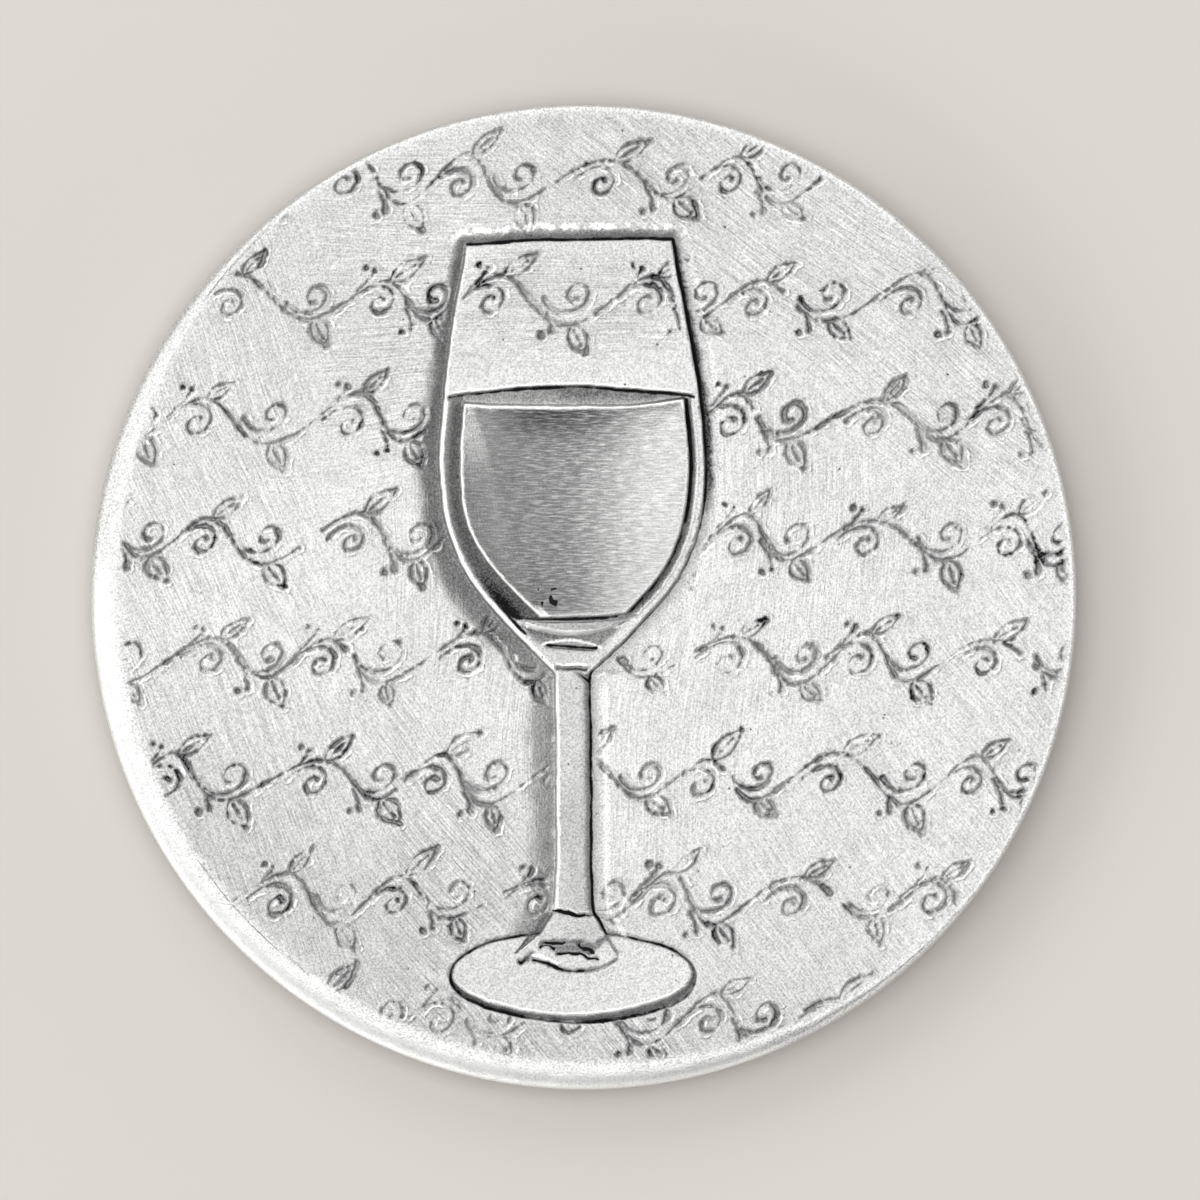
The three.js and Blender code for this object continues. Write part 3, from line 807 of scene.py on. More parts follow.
def sample(raster, extent, x, y):
    """Values of a raster between its points, blended from the four around each place."""
    count = raster.shape[0]
    column = np.clip((x + extent) / RASTER_STEP, 0, count - 1.001)
    line = np.clip((y + extent) / RASTER_STEP, 0, count - 1.001)
    ix, iy = column.astype(np.int64), line.astype(np.int64)
    fx, fy = column - ix, line - iy
    low = raster[iy, ix] * (1 - fx) + raster[iy, ix + 1] * fx
    high = raster[iy + 1, ix] * (1 - fx) + raster[iy + 1, ix + 1] * fx
    return low * (1 - fy) + high * fy


def raster_normals(rasters, places):
    """The face's true normals at the places, from the slopes of the height raster."""
    slope_y, slope_x = np.gradient(rasters.height, RASTER_STEP)
    normals = np.stack([-sample(slope_x, rasters.extent, places[:, 0], places[:, 1]),
                        -sample(slope_y, rasters.extent, places[:, 0], places[:, 1]),
                        np.ones(len(places))], 1)
    return normals / np.linalg.norm(normals, axis=1, keepdims=True)


def shade_corners(mesh, places, normals):
    """Shades each triangle by its vertices' normals, but a large one by its own where they differ much.

    A level stretch keeps few triangles, and a cut's slope at one corner would else spread over all of it.
    """
    corners = np.zeros(len(mesh.loops), np.int32)
    mesh.loops.foreach_get("vertex_index", corners)
    a, b, c = (places[corners[k::3]] for k in range(3))
    flat = np.cross(b - a, c - a)
    flat /= np.maximum(np.linalg.norm(flat, axis=1, keepdims=True), 1e-12)
    longest = np.max([np.linalg.norm(p - q, axis=1) for p, q in ((a, b), (b, c), (c, a))], axis=0)
    # Normals may differ by 70 degrees where the longest side is 0.3 mm, and by 3 from 0.9 mm on
    limit = np.repeat(np.radians(np.interp(longest, [0.3, 0.9], [70, 3])), 3)
    flat = np.repeat(flat, 3, axis=0)
    mine = normals[corners]
    apart = np.arccos(np.clip((mine * flat).sum(1), -1, 1))
    share = ease(limit, 1.4 * limit, apart)[:, None]
    mesh.shade_smooth()
    mesh.normals_split_custom_set((mine * (1 - share) + flat * share).astype(np.float32))


def disc_grid(count):
    """A square grid pressed onto the unit disc, so that its border is the circle.

    x = u sqrt(1 - v^2 / 2) and y = v sqrt(1 - u^2 / 2), with u and v from -1 to 1. Returns the places,
    the quads of the grid and the border's vertices, anticlockwise.
    """
    u, v = np.meshgrid(np.linspace(-1, 1, count), np.linspace(-1, 1, count))
    x, y = u * np.sqrt(1 - v * v / 2), v * np.sqrt(1 - u * u / 2)
    index = np.arange(count * count).reshape(count, count)
    quads = np.stack([index[:-1, :-1], index[:-1, 1:], index[1:, 1:], index[1:, :-1]], -1).reshape(-1, 4)
    border = np.concatenate([index[0, :-1], index[:-1, -1], index[-1, :0:-1], index[:0:-1, 0]])
    return x.ravel(), y.ravel(), quads, border


def ring_faces(border, first, rings):
    """Quads that join a border to further rings of as many vertices, each below the one before."""
    count = len(border)
    rows = np.concatenate([[border], first + np.arange(rings * count).reshape(rings, count)])
    ahead = np.roll(rows, -1, axis=1)
    return np.stack([rows[:-1], rows[1:], ahead[1:], ahead[:-1]], -1).reshape(-1, 4), rows[-1]


def mesh_piece(name, vertices, quads, fan_centre=None, fan_ring=None):
    """A mesh object from arrays in millimetres: quads, and a fan of triangles that closes a last ring."""
    loops = quads.ravel()
    starts = np.arange(len(quads)) * 4
    if fan_ring is not None:
        fan = np.stack([fan_ring, np.full_like(fan_ring, fan_centre), np.roll(fan_ring, -1)], -1)
        starts = np.concatenate([starts, len(loops) + np.arange(len(fan)) * 3])
        loops = np.concatenate([loops, fan.ravel()])
    mesh = bpy.data.meshes.new(name)
    mesh.vertices.add(len(vertices))
    mesh.vertices.foreach_set("co", (vertices * MM).astype(np.float32).ravel())
    mesh.loops.add(len(loops))
    mesh.loops.foreach_set("vertex_index", loops.astype(np.int32))
    mesh.polygons.add(len(starts))
    mesh.polygons.foreach_set("loop_start", starts.astype(np.int32))
    mesh.update(calc_edges=True)
    if mesh.validate():
        raise RuntimeError(f"{name} has faces that can't be kept")
    mesh.shade_smooth()
    piece = bpy.data.objects.new(name, mesh)
    bpy.context.scene.collection.objects.link(piece)
    return piece


def ring(unit, reach, height):
    """A ring of vertices from unit vectors, at a reach from the axis, which may differ round it."""
    return np.column_stack([unit * np.reshape(reach, (-1, 1)), np.full(len(unit), height)])


def closed_piece(name, cap, quads, border, rings, end, turned=False):
    """A closed piece: a cap's grid, the rings that go on from its border, and a fan to the end's centre."""
    faces, last = ring_faces(border, len(cap), len(rings))
    vertices = np.concatenate([cap, *rings, [end]])
    quads = np.concatenate([quads, faces])
    if turned:
        quads, last = quads[:, ::-1], last[::-1]
    return mesh_piece(name, vertices, quads, len(vertices) - 1, last)


def thinned(piece, triangles):
    """Collapses a dense mesh to about so many triangles, which leaves level stretches with few."""
    modifier = piece.modifiers.new("thin", "DECIMATE")
    corners = np.zeros(len(piece.data.polygons), np.int32)
    piece.data.polygons.foreach_get("loop_total", corners)
    modifier.ratio = min(1.0, triangles / float((corners - 2).sum()))
    modifier.use_collapse_triangulate = True
    graph = bpy.context.evaluated_depsgraph_get()
    mesh = bpy.data.meshes.new_from_object(piece.evaluated_get(graph))
    dense = piece.data
    piece.modifiers.clear()
    piece.data = mesh
    mesh.name = dense.name + "_thin"
    bpy.data.meshes.remove(dense)
    return mesh


def vertex_places(mesh):
    """The mesh's vertices in millimetres."""
    places = np.zeros(len(mesh.vertices) * 3, np.float32)
    mesh.vertices.foreach_get("co", places)
    return places.reshape(-1, 3).astype(np.float64) / MM


def set_attribute(mesh, name, values):
    """Stores one number for each vertex."""
    made = mesh.attributes.new(name, "FLOAT", "POINT")
    made.data.foreach_set("value", np.ascontiguousarray(values, np.float32))


def add_node(tree, kind, inputs=None, **settings):
    """Adds a shader node of a kind, sets its options, and sets or links its inputs."""
    made = tree.nodes.new("ShaderNode" + kind)
    for name, value in settings.items():
        setattr(made, name, value)
    for socket, value in (inputs or {}).items():
        if isinstance(value, bpy.types.NodeSocket):
            tree.links.new(value, made.inputs[socket])
        else:
            made.inputs[socket].default_value = value
    return made


def new_material(name):
    """An empty node material and its tree."""
    material = bpy.data.materials.new(name)
    material.use_nodes = True
    material.node_tree.nodes.clear()
    return material, material.node_tree


def hand_brushing(tree, place):
    """Scratches of a brush in straight passes, each over its own part of the face, as a value round 0.5.

    A pass is its slant in degrees, the way from the centre to its part, how far out in millimetres it
    begins to fade in, and its strength. Scratches are 5 mm long and about 0.17 mm apart, coarser than real
    ones so that they show. A slow noise bends them a little.
    """
    passes = (
        (86, (0, 0, 0), -12, 0.15),
        (2, (-0.35, 0.94, 0), 15, 0.2),
        (-38, (0.6, 0.8, 0), 30, 0.22),
        (-54, (0.7, -0.7, 0), 22, 0.15),
        (-50, (-0.75, -0.66, 0), 12, 0.27),
        (-68, (-1, -0.1, 0), 18, 0.2),
    )
    fade = 9
    stir = add_node(tree, "TexNoise", {"Vector": place, "Scale": 1 / (26 * MM), "Detail": 1.0})
    bent = add_node(tree, "VectorMath", {
        0: stir.outputs["Color"], 1: (5 * MM, 5 * MM, 0), 2: place}, operation="MULTIPLY_ADD").outputs[0]
    brush = 0.5
    for slant, way, start, strength in passes:
        along = add_node(tree, "Mapping", {"Vector": bent, "Rotation": (0, 0, math.radians(-slant))})
        thin = add_node(tree, "VectorMath", {
            0: along.outputs[0], 1: (1 / (5 * MM), 1 / (0.17 * MM), 0)}, operation="MULTIPLY")
        lines = add_node(tree, "TexNoise", {
            "Vector": thin.outputs[0], "Scale": 1.0, "Detail": 2.0, "Roughness": 0.6})
        scored = add_node(tree, "MapRange", {
            "Value": lines.outputs["Fac"], **NOISE_SPAN,
            "To Min": 0.5 - strength, "To Max": 0.5 + strength})
        reach = add_node(tree, "VectorMath", {0: bent, 1: way}, operation="DOT_PRODUCT")
        area = add_node(tree, "MapRange", {
            "Value": reach.outputs["Value"], "From Min": start * MM, "From Max": (start + fade) * MM})
        brush = add_node(tree, "Mix", {
            "Factor": area.outputs[0], "A": brush, "B": scored.outputs[0]}).outputs[0]
    return brush


def ragged_marks(tree, grit):
    """Masks of the shade, of the black oxide and painted shade, and of the rub and painted highlight: their
    closeness is roughened by the grain and cut off.

    That gives crisp ragged lines. A mark is its attribute, how far the grain tears it, and the closeness
    at which it begins and is full.
    """
    ragged = add_node(tree, "MapRange", {
        "Value": grit.outputs["Fac"], **NOISE_SPAN, "To Min": -1.0, "To Max": 1.0})
    marks = {}
    for name, tear, low, high in (
            ("shade", 0.16, 0.43, 0.59), ("ink", 0.1, 0.5, 0.78), ("rub", 0.1, 0.5, 0.85)):
        close = add_node(tree, "Attribute", attribute_name=name)
        torn = add_node(tree, "Math", {
            0: ragged.outputs[0], 1: tear, 2: close.outputs["Fac"]}, operation="MULTIPLY_ADD")
        marks[name] = add_node(tree, "MapRange", {
            "Value": torn.outputs[0], "From Min": low, "From Max": high},
            interpolation_type="SMOOTHSTEP").outputs[0]
    return marks


def pewter_material(colours):
    """Satin pewter, brushed by hand in straight passes, with dark oxide left in the hollows, and with
    painted shade and painted highlights laid on its colour.

    To the eye: fine scratches over the field, a soft wide sheen, a gritty cast grain, dark lines of oxide
    and painted shade in every cut, and a smoother face on the wine, darker with patina and painted shade.
    """
    material, tree = new_material("brushed_pewter_with_patina")
    place = add_node(tree, "TexCoord").outputs["Object"]
    patina = add_node(tree, "Attribute", attribute_name="patina")
    polish = add_node(tree, "Attribute", attribute_name="polish").outputs["Fac"]
    field = add_node(tree, "Attribute", attribute_name="field")
    # Cast grain of about 0.2 mm, drawn coarser than the real grain so that it shows
    grit = add_node(tree, "TexNoise", {
        "Vector": place, "Scale": 1 / (0.2 * MM), "Detail": 1.0, "Roughness": 0.7})
    # Fine strokes on the wine, 1.3 mm long and 0.19 mm apart
    wine_place = add_node(tree, "Mapping", {
        "Vector": place, "Rotation": (0, 0, math.radians(11)),
        "Scale": (1 / (1.3 * MM), 1 / (0.19 * MM), 1)})
    wine_brush = add_node(tree, "TexNoise", {
        "Vector": wine_place.outputs[0], "Scale": 1.0, "Detail": 3.0, "Roughness": 0.6})
    brush = add_node(tree, "Mix", {
        "Factor": field.outputs["Fac"], "A": 0.5, "B": hand_brushing(tree, place)})
    surface = add_node(tree, "Mix", {
        "Factor": polish, "A": brush.outputs[0], "B": wine_brush.outputs["Fac"]})

    # Bare metal: slow clouds of tone, and streaks and specks that are weaker on the wine
    cloud = add_node(tree, "TexNoise", {"Vector": place, "Scale": 1 / (14 * MM), "Detail": 3.0})
    plain = add_node(tree, "MapRange", {"Value": polish, "To Min": 0.69, "To Max": 0.78})
    streak = add_node(tree, "MapRange", {
        "Value": surface.outputs[0], **NOISE_SPAN, "To Min": plain.outputs[0], "To Max": 1.16})
    tone = add_node(tree, "MapRange", {
        "Value": cloud.outputs["Fac"], **NOISE_SPAN, "To Min": 0.93, "To Max": 1.03})
    both = add_node(tree, "Math", {0: streak.outputs[0], 1: tone.outputs[0]}, operation="MULTIPLY")
    fine = add_node(tree, "MapRange", {"Value": polish, "To Min": 0.66, "To Max": 0.88})
    speck = add_node(tree, "MapRange", {
        "Value": grit.outputs["Fac"], "From Min": 0.3, "From Max": 0.62,
        "To Min": fine.outputs[0], "To Max": 1.08})
    shade = add_node(tree, "Math", {0: both.outputs[0], 1: speck.outputs[0]}, operation="MULTIPLY")
    bright = add_node(tree, "Mix", {
        "Factor": 1.0, "A": linear(colours.pewter), "B": shade.outputs[0]},
        data_type="RGBA", blend_type="MULTIPLY")
    marks = ragged_marks(tree, grit)
    # Painted highlights and rubbed edges, in the paler pewter
    rubbed = add_node(tree, "Mix", {
        "Factor": marks["rub"], "A": bright.outputs[2], "B": linear(colours.rubbed)}, data_type="RGBA")

    # Patina and painted shade, broken by the grain. On the wine it is smooth on the left and flecked
    # towards the right
    field_mottle = add_node(tree, "MapRange", {
        "Value": grit.outputs["Fac"], **NOISE_SPAN, "To Min": 0.96, "To Max": 0.7})
    across = add_node(tree, "SeparateXYZ", {"Vector": place})
    flecked = add_node(tree, "MapRange", {
        "Value": across.outputs["X"], "From Min": -11 * MM, "From Max": 1 * MM,
        "To Min": 0.84, "To Max": 0.5})
    wine_mottle = add_node(tree, "MapRange", {
        "Value": wine_brush.outputs["Fac"], "From Min": 0.45, "From Max": 0.72,
        "To Min": 1.0, "To Max": flecked.outputs[0]})
    uneven = add_node(tree, "Mix", {
        "Factor": polish, "A": field_mottle.outputs[0], "B": wine_mottle.outputs[0]})
    stain_and_shade = add_node(tree, "Math", {
        0: patina.outputs["Fac"], 1: uneven.outputs[0]}, operation="MULTIPLY", use_clamp=True)
    grey = add_node(tree, "Math", {0: marks["shade"], 1: field_mottle.outputs[0]}, operation="MULTIPLY")
    grey = add_node(tree, "Math", {0: grey.outputs[0], 1: 0.66}, operation="MULTIPLY")
    stain_and_shade = add_node(tree, "Math", {0: stain_and_shade.outputs[0], 1: grey.outputs[0]}, operation="MAXIMUM")
    # Painted highlights and rubbed edges lift the patina and painted shade
    lightened = add_node(tree, "MapRange", {"Value": marks["rub"], "To Min": 1.0, "To Max": 0.2})
    stain_and_shade = add_node(tree, "Math", {0: stain_and_shade.outputs[0], 1: lightened.outputs[0]}, operation="MULTIPLY")
    # Black lines of oxide, made heavier as painted shade on sides away from the light
    stain_and_shade = add_node(tree, "Math", {0: stain_and_shade.outputs[0], 1: marks["ink"]}, operation="MAXIMUM")
    skin = add_node(tree, "Mix", {
        "Factor": stain_and_shade.outputs[0], "A": rubbed.outputs[2], "B": linear(colours.oxide_and_shade)}, data_type="RGBA")

    gloss = add_node(tree, "MapRange", {"Value": polish, "To Min": 0.46, "To Max": 0.38})
    rough = add_node(tree, "Math", {
        0: stain_and_shade.outputs[0], 1: 0.12, 2: gloss.outputs[0]}, operation="MULTIPLY_ADD")
    # Shallow dents about 2.5 mm across, which the casting keeps from its mould
    dents = add_node(tree, "TexNoise", {"Vector": place, "Scale": 1 / (2.5 * MM), "Detail": 1.0})
    dented = add_node(tree, "Bump", {
        "Height": dents.outputs["Fac"], "Strength": 0.5, "Distance": 0.25 * MM})
    brushed = add_node(tree, "Bump", {
        "Height": surface.outputs[0], "Strength": 0.5, "Distance": 0.08 * MM,
        "Normal": dented.outputs[0]})
    gritty = add_node(tree, "Bump", {
        "Height": grit.outputs["Fac"], "Strength": 0.6, "Distance": 0.075 * MM,
        "Normal": brushed.outputs[0]})
    metal = add_node(tree, "BsdfPrincipled", {
        "Base Color": skin.outputs[2], "Metallic": 1.0, "Roughness": rough.outputs[0],
        "Normal": gritty.outputs[0]})
    add_node(tree, "OutputMaterial", {"Surface": metal.outputs[0]})
    return material


def cork_material(colours):
    """Granulated cork, pressed and sliced: pale granules of 1 to 3 mm with dark bark specks and voids."""
    granule, shift = 1.9 * MM, 1.1 * MM
    material, tree = new_material("granulated_cork_sheet")
    place = add_node(tree, "TexCoord").outputs["Object"]
    stir = add_node(tree, "TexNoise", {"Vector": place, "Scale": 1 / (1.6 * MM), "Detail": 2.0})
    push = add_node(tree, "VectorMath", {
        0: stir.outputs["Color"], 1: (shift, shift, shift), 2: place}, operation="MULTIPLY_ADD")
    cells = add_node(tree, "TexVoronoi", {"Vector": push.outputs[0], "Scale": 1 / granule})
    edges = add_node(tree, "TexVoronoi", {
        "Vector": push.outputs[0], "Scale": 1 / granule}, feature="DISTANCE_TO_EDGE")
    parts = add_node(tree, "SeparateColor", {"Color": cells.outputs["Color"]})
    fine = add_node(tree, "TexNoise", {
        "Vector": place, "Scale": 1 / (0.35 * MM), "Detail": 3.0, "Roughness": 0.65})
    spread = add_node(tree, "MapRange", {
        "Value": parts.outputs[0], "From Min": 0.3, "From Max": 1.0, "To Min": 0.0, "To Max": 0.55})
    fleck = add_node(tree, "MapRange", {
        "Value": fine.outputs["Fac"], "From Min": 0.52, "From Max": 0.72, "To Min": 0.0, "To Max": 0.45})
    seam = add_node(tree, "MapRange", {
        "Value": edges.outputs["Distance"], "From Min": 0.0, "From Max": 0.14,
        "To Min": 0.5, "To Max": 0.0})
    first = add_node(tree, "Math", {0: spread.outputs[0], 1: fleck.outputs[0]}, operation="ADD")
    second = add_node(tree, "Math", {
        0: first.outputs[0], 1: seam.outputs[0]}, operation="MAXIMUM", use_clamp=True)
    skin = add_node(tree, "Mix", {
        "Factor": second.outputs[0], "A": linear(colours.cork_light), "B": linear(colours.cork_dark)},
        data_type="RGBA")
    heap = add_node(tree, "Math", {
        0: fine.outputs["Fac"], 1: 0.5, 2: edges.outputs["Distance"]}, operation="MULTIPLY_ADD")
    bump = add_node(tree, "Bump", {
        "Height": heap.outputs[0], "Strength": 0.5, "Distance": 0.15 * MM})
    cork = add_node(tree, "BsdfPrincipled", {
        "Base Color": skin.outputs[2], "Roughness": 0.88, "IOR": 1.4, "Normal": bump.outputs[0]})
    add_node(tree, "OutputMaterial", {"Surface": cork.outputs[0]})
    return material


def film_material(colours):
    """Clear acrylic bonding film, in a pale milky tone all over, with faint bubbles."""
    material, tree = new_material("acrylic_bonding_film")
    place = add_node(tree, "TexCoord").outputs["Object"]
    cloud = add_node(tree, "TexNoise", {"Vector": place, "Scale": 1 / (3 * MM), "Detail": 3.0})
    tone = add_node(tree, "MapRange", {
        "Value": cloud.outputs["Fac"], **NOISE_SPAN, "To Min": 0.8, "To Max": 1.05})
    skin = add_node(tree, "Mix", {
        "Factor": 1.0, "A": linear(colours.film), "B": tone.outputs[0]},
        data_type="RGBA", blend_type="MULTIPLY")
    bump = add_node(tree, "Bump", {
        "Height": cloud.outputs["Fac"], "Strength": 0.3, "Distance": 0.1 * MM})
    resin = add_node(tree, "BsdfPrincipled", {
        "Base Color": skin.outputs[2], "Roughness": 0.4, "IOR": 1.47, "Normal": bump.outputs[0]})
    add_node(tree, "OutputMaterial", {"Surface": resin.outputs[0]})
    return material


def bake_map(mesh, places, radius_at, back_z, whole):
    """Lays out the bake's map: the face and its edge unrolled round the middle, the back in a corner."""
    face_middle, face_reach = 0.5, 0.49
    back_middle, back_reach = 0.08, 0.078
    corners = np.zeros(len(mesh.loops), np.int32)
    mesh.loops.foreach_get("vertex_index", corners)
    heights = places[corners.reshape(-1, 3), 2].mean(1)
    back = np.repeat(heights < back_z + 0.02, 3)
    angle = np.arctan2(places[corners, 1], places[corners, 0])
    away = np.hypot(places[corners, 0], places[corners, 1])
    spread = np.where(back, away * back_reach, radius_at[corners] * face_reach) / whole
    middle = np.where(back, back_middle, face_middle)
    uv = np.stack([middle + spread * np.cos(angle), middle + spread * np.sin(angle)], 1)
    layer = mesh.uv_layers.new(name="OFBake")
    layer.data.foreach_set("uv", uv.astype(np.float32).ravel())


def casting_blank(rasters, c):
    """The casting before its mesh is thinned: the face's grid, the roll, the side wall and the back.

    Near its border the grid is drawn in to the line where the roll begins. The roll is a quarter of an
    ellipse, broader where the edge is worn, and the back edge is a quarter of a circle.
    """
    radius = (CASTING_HIGH.x - CASTING_LOW.x) / 2 / MM
    back_z, field_z = CASTING_LOW.z / MM, CASTING_HIGH.z / MM - BURR
    x, y, quads, border = disc_grid(FACE_COUNT)
    angle = np.arctan2(y, x)
    reach = radius - c.draft - c.roll
    reach = reach + (edge_radius(angle, c) - reach) * np.hypot(x, y) ** 8
    x, y = x * reach, y * reach
    # While the mesh is thinned the lines stand out of the face, so that vertices stay along them
    lines = rasters.rub - np.maximum(rasters.ink, 0.7 * rasters.shade)
    z = field_z + sample(rasters.height + 0.1 * lines, rasters.extent, x, y)
    z[border] = field_z
    unit = np.stack([np.cos(angle[border]), np.sin(angle[border])], 1)
    start = np.hypot(x[border], y[border])
    roll = [(start + (radius - c.draft - start) * math.sin(t), field_z - c.roll_drop * (1 - math.cos(t)))
            for t in np.linspace(0, math.pi / 2, 13)[1:]]
    back = [(radius - c.back_round * (1 - math.cos(t)), back_z + c.back_round * (1 - math.sin(t)))
            for t in np.linspace(0, math.pi / 2, 5)]
    rings = [ring(unit, r, h) for r, h in (*roll, *back, (radius * 0.9, back_z))]
    return closed_piece("pewter_casting", np.stack([x, y, z], 1), quads, border, rings, (0, 0, back_z))


def carve_casting(mesh, rasters, c):
    """Sets the thinned mesh back on the carved face, and stores its looks, normals and bake map."""
    back_z, face_z = CASTING_LOW.z / MM, CASTING_HIGH.z / MM
    places = vertex_places(mesh)
    away = np.hypot(places[:, 0], places[:, 1])
    edge = edge_radius(np.arctan2(places[:, 1], places[:, 0]), c)
    front = places[:, 2] > back_z + 1.0
    face = front & (away < edge - 0.02)
    level = face_z - BURR + sample(rasters.height, rasters.extent, places[:, 0], places[:, 1])
    places[:, 2] = np.where(face, np.minimum(level, face_z), places[:, 2])
    mesh.vertices.foreach_set("co", (places * MM).astype(np.float32).ravel())
    mesh.update()
    for name in ("patina", "shade", "ink", "rub", "polish", "field"):
        looks = sample(getattr(rasters, name), rasters.extent, places[:, 0], places[:, 1])
        set_attribute(mesh, name, np.where(front, looks, 0))
    own = np.zeros(len(places) * 3, np.float32)
    mesh.vertex_normals.foreach_get("vector", own)
    inner = face & (away < edge - 0.05)
    normals = np.where(inner[:, None], raster_normals(rasters, places), own.reshape(-1, 3))
    shade_corners(mesh, places, normals)
    # On the map a place lies about as far out as it does along the surface
    drop = np.maximum(face_z - places[:, 2], 0)
    run = np.where(face, away, edge + 0.6 * (away - edge) + 1.2 * drop)
    bake_map(mesh, places, run, back_z, run.max() + 0.2)


class MakeCasting(bpy.types.Operator):
    """Builds the casting: carved face, rounded edge, side wall and back in one closed mesh"""
    bl_idname = "coaster.make_casting"
    bl_label = "Pewter casting"

    def execute(self, context):
        c = in_millimetres("coaster_casting")
        rasters = face_rasters(c)
        piece = casting_blank(rasters, c)
        mesh = thinned(piece, CASTING_TRIANGLES)
        carve_casting(mesh, rasters, c)
        mesh.materials.clear()
        mesh.materials.append(pewter_material(context.scene.coaster_colours))
        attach(piece, "root")
        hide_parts("pewter_disc")
        return {"FINISHED"}


class MakeFilm(bpy.types.Operator):
    """Builds the bonding film between the cork and the casting, with a slightly uneven edge"""
    bl_idname = "coaster.make_film"
    bl_label = "Bonding film"

    def execute(self, context):
        radius = (FILM_HIGH.x - FILM_LOW.x) / 2 / MM
        low, high = FILM_LOW.z / MM, FILM_HIGH.z / MM
        inner = radius - 0.2
        x, y, quads, border = disc_grid(FILM_COUNT)
        unit = np.stack([x[border], y[border]], 1)
        angle = np.arctan2(unit[:, 1], unit[:, 0])
        edge = inner + 0.12 * np.sin(9 * angle + 0.4) + 0.08 * np.sin(23 * angle)
        scale = np.full(len(x), inner)
        scale[border] = edge
        cap = np.stack([x * scale, y * scale, np.full(len(x), high)], 1)
        rings = [ring(unit, edge + bulge, z)
                 for bulge, z in ((0.03, high - 0.05), (0.03, low + 0.05), (0.0, low))]
        piece = closed_piece("bonding_film", cap, quads, border, rings, (0, 0, low))
        piece.data.materials.append(film_material(context.scene.coaster_colours))
        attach(piece, "root")
        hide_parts("adhesive_film")
        return {"FINISHED"}


class MakeCork(bpy.types.Operator):
    """Builds the cork pad: a die-cut disc whose underside and edge show the granules' small voids"""
    bl_idname = "coaster.make_cork"
    bl_label = "Cork pad"

    def execute(self, context):
        radius = (PAD_HIGH.x - PAD_LOW.x) / 2 / MM
        low, high = PAD_LOW.z / MM, PAD_HIGH.z / MM
        inset, chamfer, bite = 0.25, 0.07, 0.22
        inner, outer = radius - inset, radius - chamfer
        x, y, quads, border = disc_grid(PAD_COUNT)
        x, y = x * inner, y * inner
        void = np.clip(grain(x, y, 0.9, 21) + 0.6 * grain(x, y, 2.2, 22) - 0.55, 0, 1)
        z = low + 0.35 * void
        z[border] = low
        unit = np.stack([x[border], y[border]], 1) / inner
        angle = np.arctan2(unit[:, 1], unit[:, 0])
        # The edge: reach and height of each ring, and how deep crumbs are torn out of it
        profile = (
            (outer, low + chamfer, 0.0),
            (radius, low + inset, bite),
            (radius, low + 0.7, bite),
            (radius, low + 1.2, bite),
            (radius, high - inset, bite),
            (outer, high - chamfer, bite),
            (inner, high, 0.0),
        )
        rings = []
        for reach, height, torn in profile:
            crumb = np.clip(grain(angle * radius, np.full_like(angle, height), 0.8, 23), 0, 1)
            rings.append(ring(unit, reach - torn * crumb, height))
        piece = closed_piece("cork_backing", np.stack([x, y, z], 1), quads, border, rings, (0, 0, high),
                             turned=True)
        piece.data.materials.append(cork_material(context.scene.coaster_colours))
        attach(piece, "root")
        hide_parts("cork_pad")
        return {"FINISHED"}


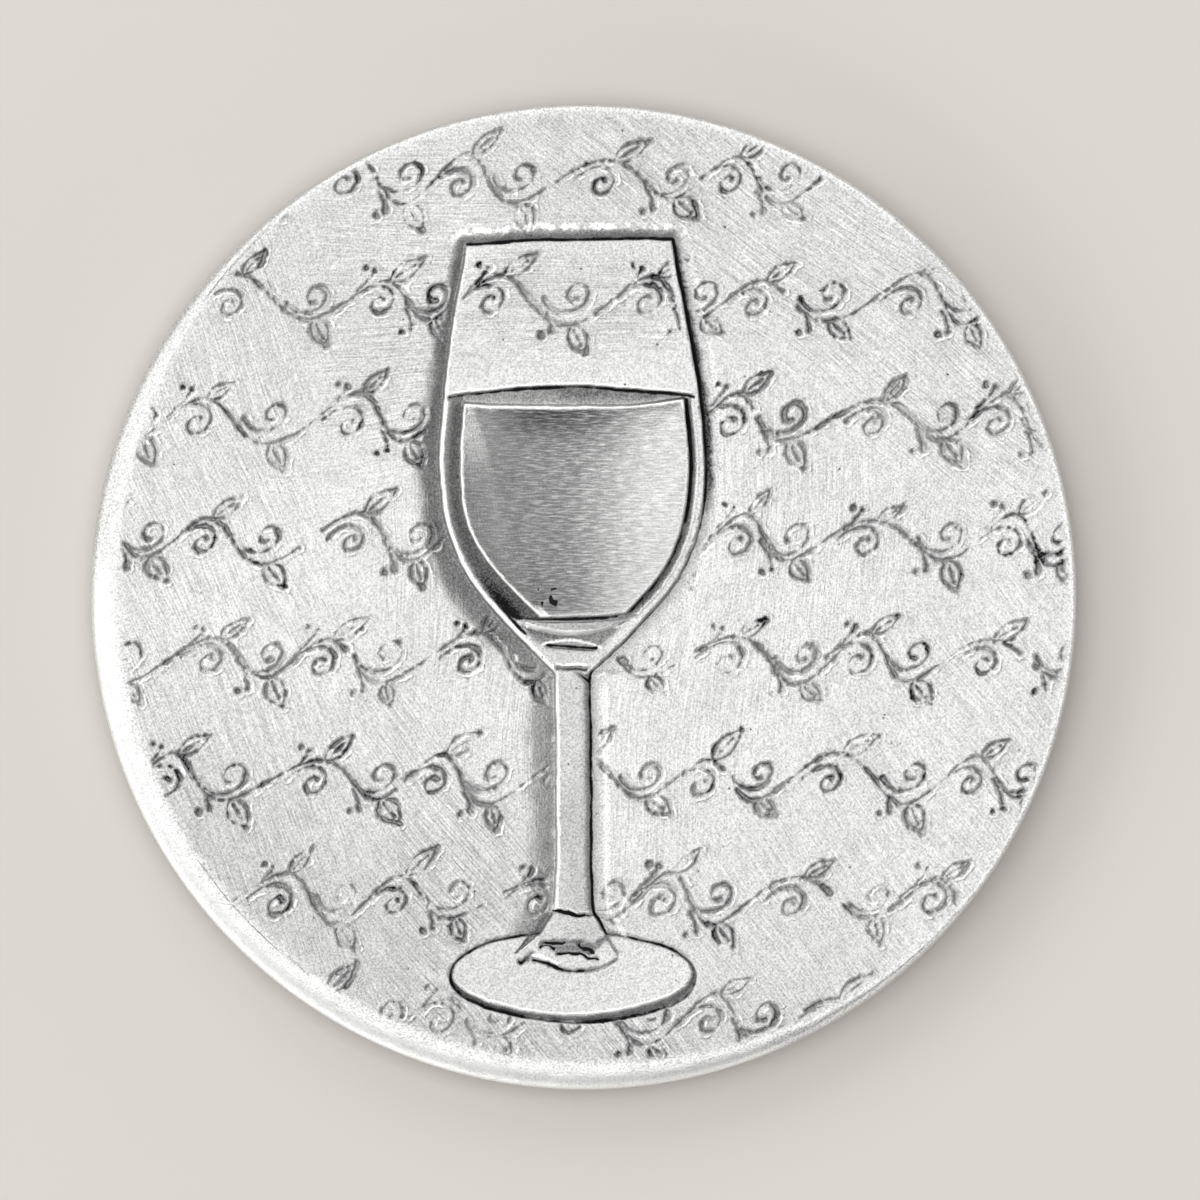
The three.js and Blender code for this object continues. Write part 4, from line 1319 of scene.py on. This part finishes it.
class MakeStage(bpy.types.Operator):
    """Sets up the floor, the lamps, the world and the camera that looks straight at the face"""
    bl_idname = "coaster.make_stage"
    bl_label = "Stage"

    def execute(self, context):
        scene = context.scene
        paper_colour = linear(scene.coaster_colours.floor)
        corners = np.array([(x * FLOOR_HALF, y * FLOOR_HALF, FLOOR_TOP)
                            for x, y in ((-1, -1), (1, -1), (1, 1), (-1, 1))])
        floor = mesh_piece("studio_floor", corners, np.array([[0, 1, 2, 3]]))
        material, tree = new_material("matt_paper_floor")
        paper = add_node(tree, "BsdfPrincipled", {"Base Color": paper_colour, "Roughness": 0.9})
        add_node(tree, "OutputMaterial", {"Surface": paper.outputs[0]})
        floor.data.materials.append(material)

        # Name, place, width and height, and brightness of each panel's surface
        panels = (
            ("overhead_softbox", (-0.2, 0.1, 2.4), (1.9, 2.3), 2.02),
            ("left_softbox", (-2.0, 0.3, 1.2), (2.2, 1.4), 1.64),
            ("lower_left_softbox", (-1.1, -1.5, 0.6), (2.6, 1.1), 1.75),
            ("back_softbox", (-0.5, 1.9, 1.3), (2.2, 1.2), 1.9),
            ("low_right_strip", (1.7, 0.2, 0.26), (2.6, 0.5), 1.9),
            ("low_front_strip", (1.2, -1.3, 0.24), (2.0, 0.46), 1.75),
            ("low_back_strip", (0.4, 1.7, 0.24), (2.4, 0.46), 1.5),
        )
        for name, spot, size, bright in panels:
            lamp = bpy.data.lights.new(name, "AREA")
            lamp.shape = "RECTANGLE"
            lamp.size, lamp.size_y = size
            lamp.energy = bright * math.pi * size[0] * size[1]
            stand = bpy.data.objects.new(name, lamp)
            stand.location = spot
            aim = -stand.location
            stand.rotation_euler = aim.to_track_quat("-Z", "Y").to_euler()
            scene.collection.objects.link(stand)

        world = bpy.data.worlds.new("studio")
        world.use_nodes = True
        world.node_tree.nodes.clear()
        sky = add_node(world.node_tree, "Background", {
            "Color": (AMBIENT, AMBIENT, AMBIENT, 1), "Strength": 1.0})
        add_node(world.node_tree, "OutputWorld", {"Surface": sky.outputs[0]})
        scene.world = world

        lens = bpy.data.cameras.new("camera")
        lens.sensor_width, lens.lens = SENSOR, LENS
        camera = bpy.data.objects.new("camera", lens)
        camera.location = (VIEW_X, VIEW_Y, CASTING_HIGH.z + LENS / SENSOR * VIEW_WIDTH)
        scene.collection.objects.link(camera)
        scene.camera = camera
        scene.view_settings.view_transform = "Standard"
        return {"FINISHED"}


class CoasterPanel(bpy.types.Panel):
    """Lists the coaster's pieces and sizes"""
    bl_idname = "VIEW3D_PT_coaster"
    bl_label = "Drink coaster"
    bl_space_type = "VIEW_3D"
    bl_region_type = "UI"
    bl_category = "Coaster"

    def draw(self, context):
        for operator in OPERATORS:
            self.layout.operator(operator.bl_idname)
        for name in GROUPS:
            group = getattr(context.scene, name)
            box = self.layout.box()
            for key in type(group).__annotations__:
                box.prop(group, key)


OPERATORS = (MakeCasting, MakeFilm, MakeCork, MakeStage)


def register():
    """Registers the property groups, the operators and the panel."""
    for group in GROUPS.values():
        bpy.utils.register_class(group)
    for name, group in GROUPS.items():
        setattr(bpy.types.Scene, name, bpy.props.PointerProperty(type=group))
    for made in (*OPERATORS, CoasterPanel):
        bpy.utils.register_class(made)


def unregister():
    """Takes everything back out, in the opposite order."""
    for made in reversed((*OPERATORS, CoasterPanel)):
        bpy.utils.unregister_class(made)
    for name in GROUPS:
        delattr(bpy.types.Scene, name)
    for group in reversed(GROUPS.values()):
        bpy.utils.unregister_class(group)


def main():
    """Builds the stage and the pieces in order."""
    register()
    bpy.ops.coaster.make_stage()
    bpy.ops.coaster.make_casting()
    bpy.ops.coaster.make_film()
    bpy.ops.coaster.make_cork()


if __name__ == "__main__":
    main()
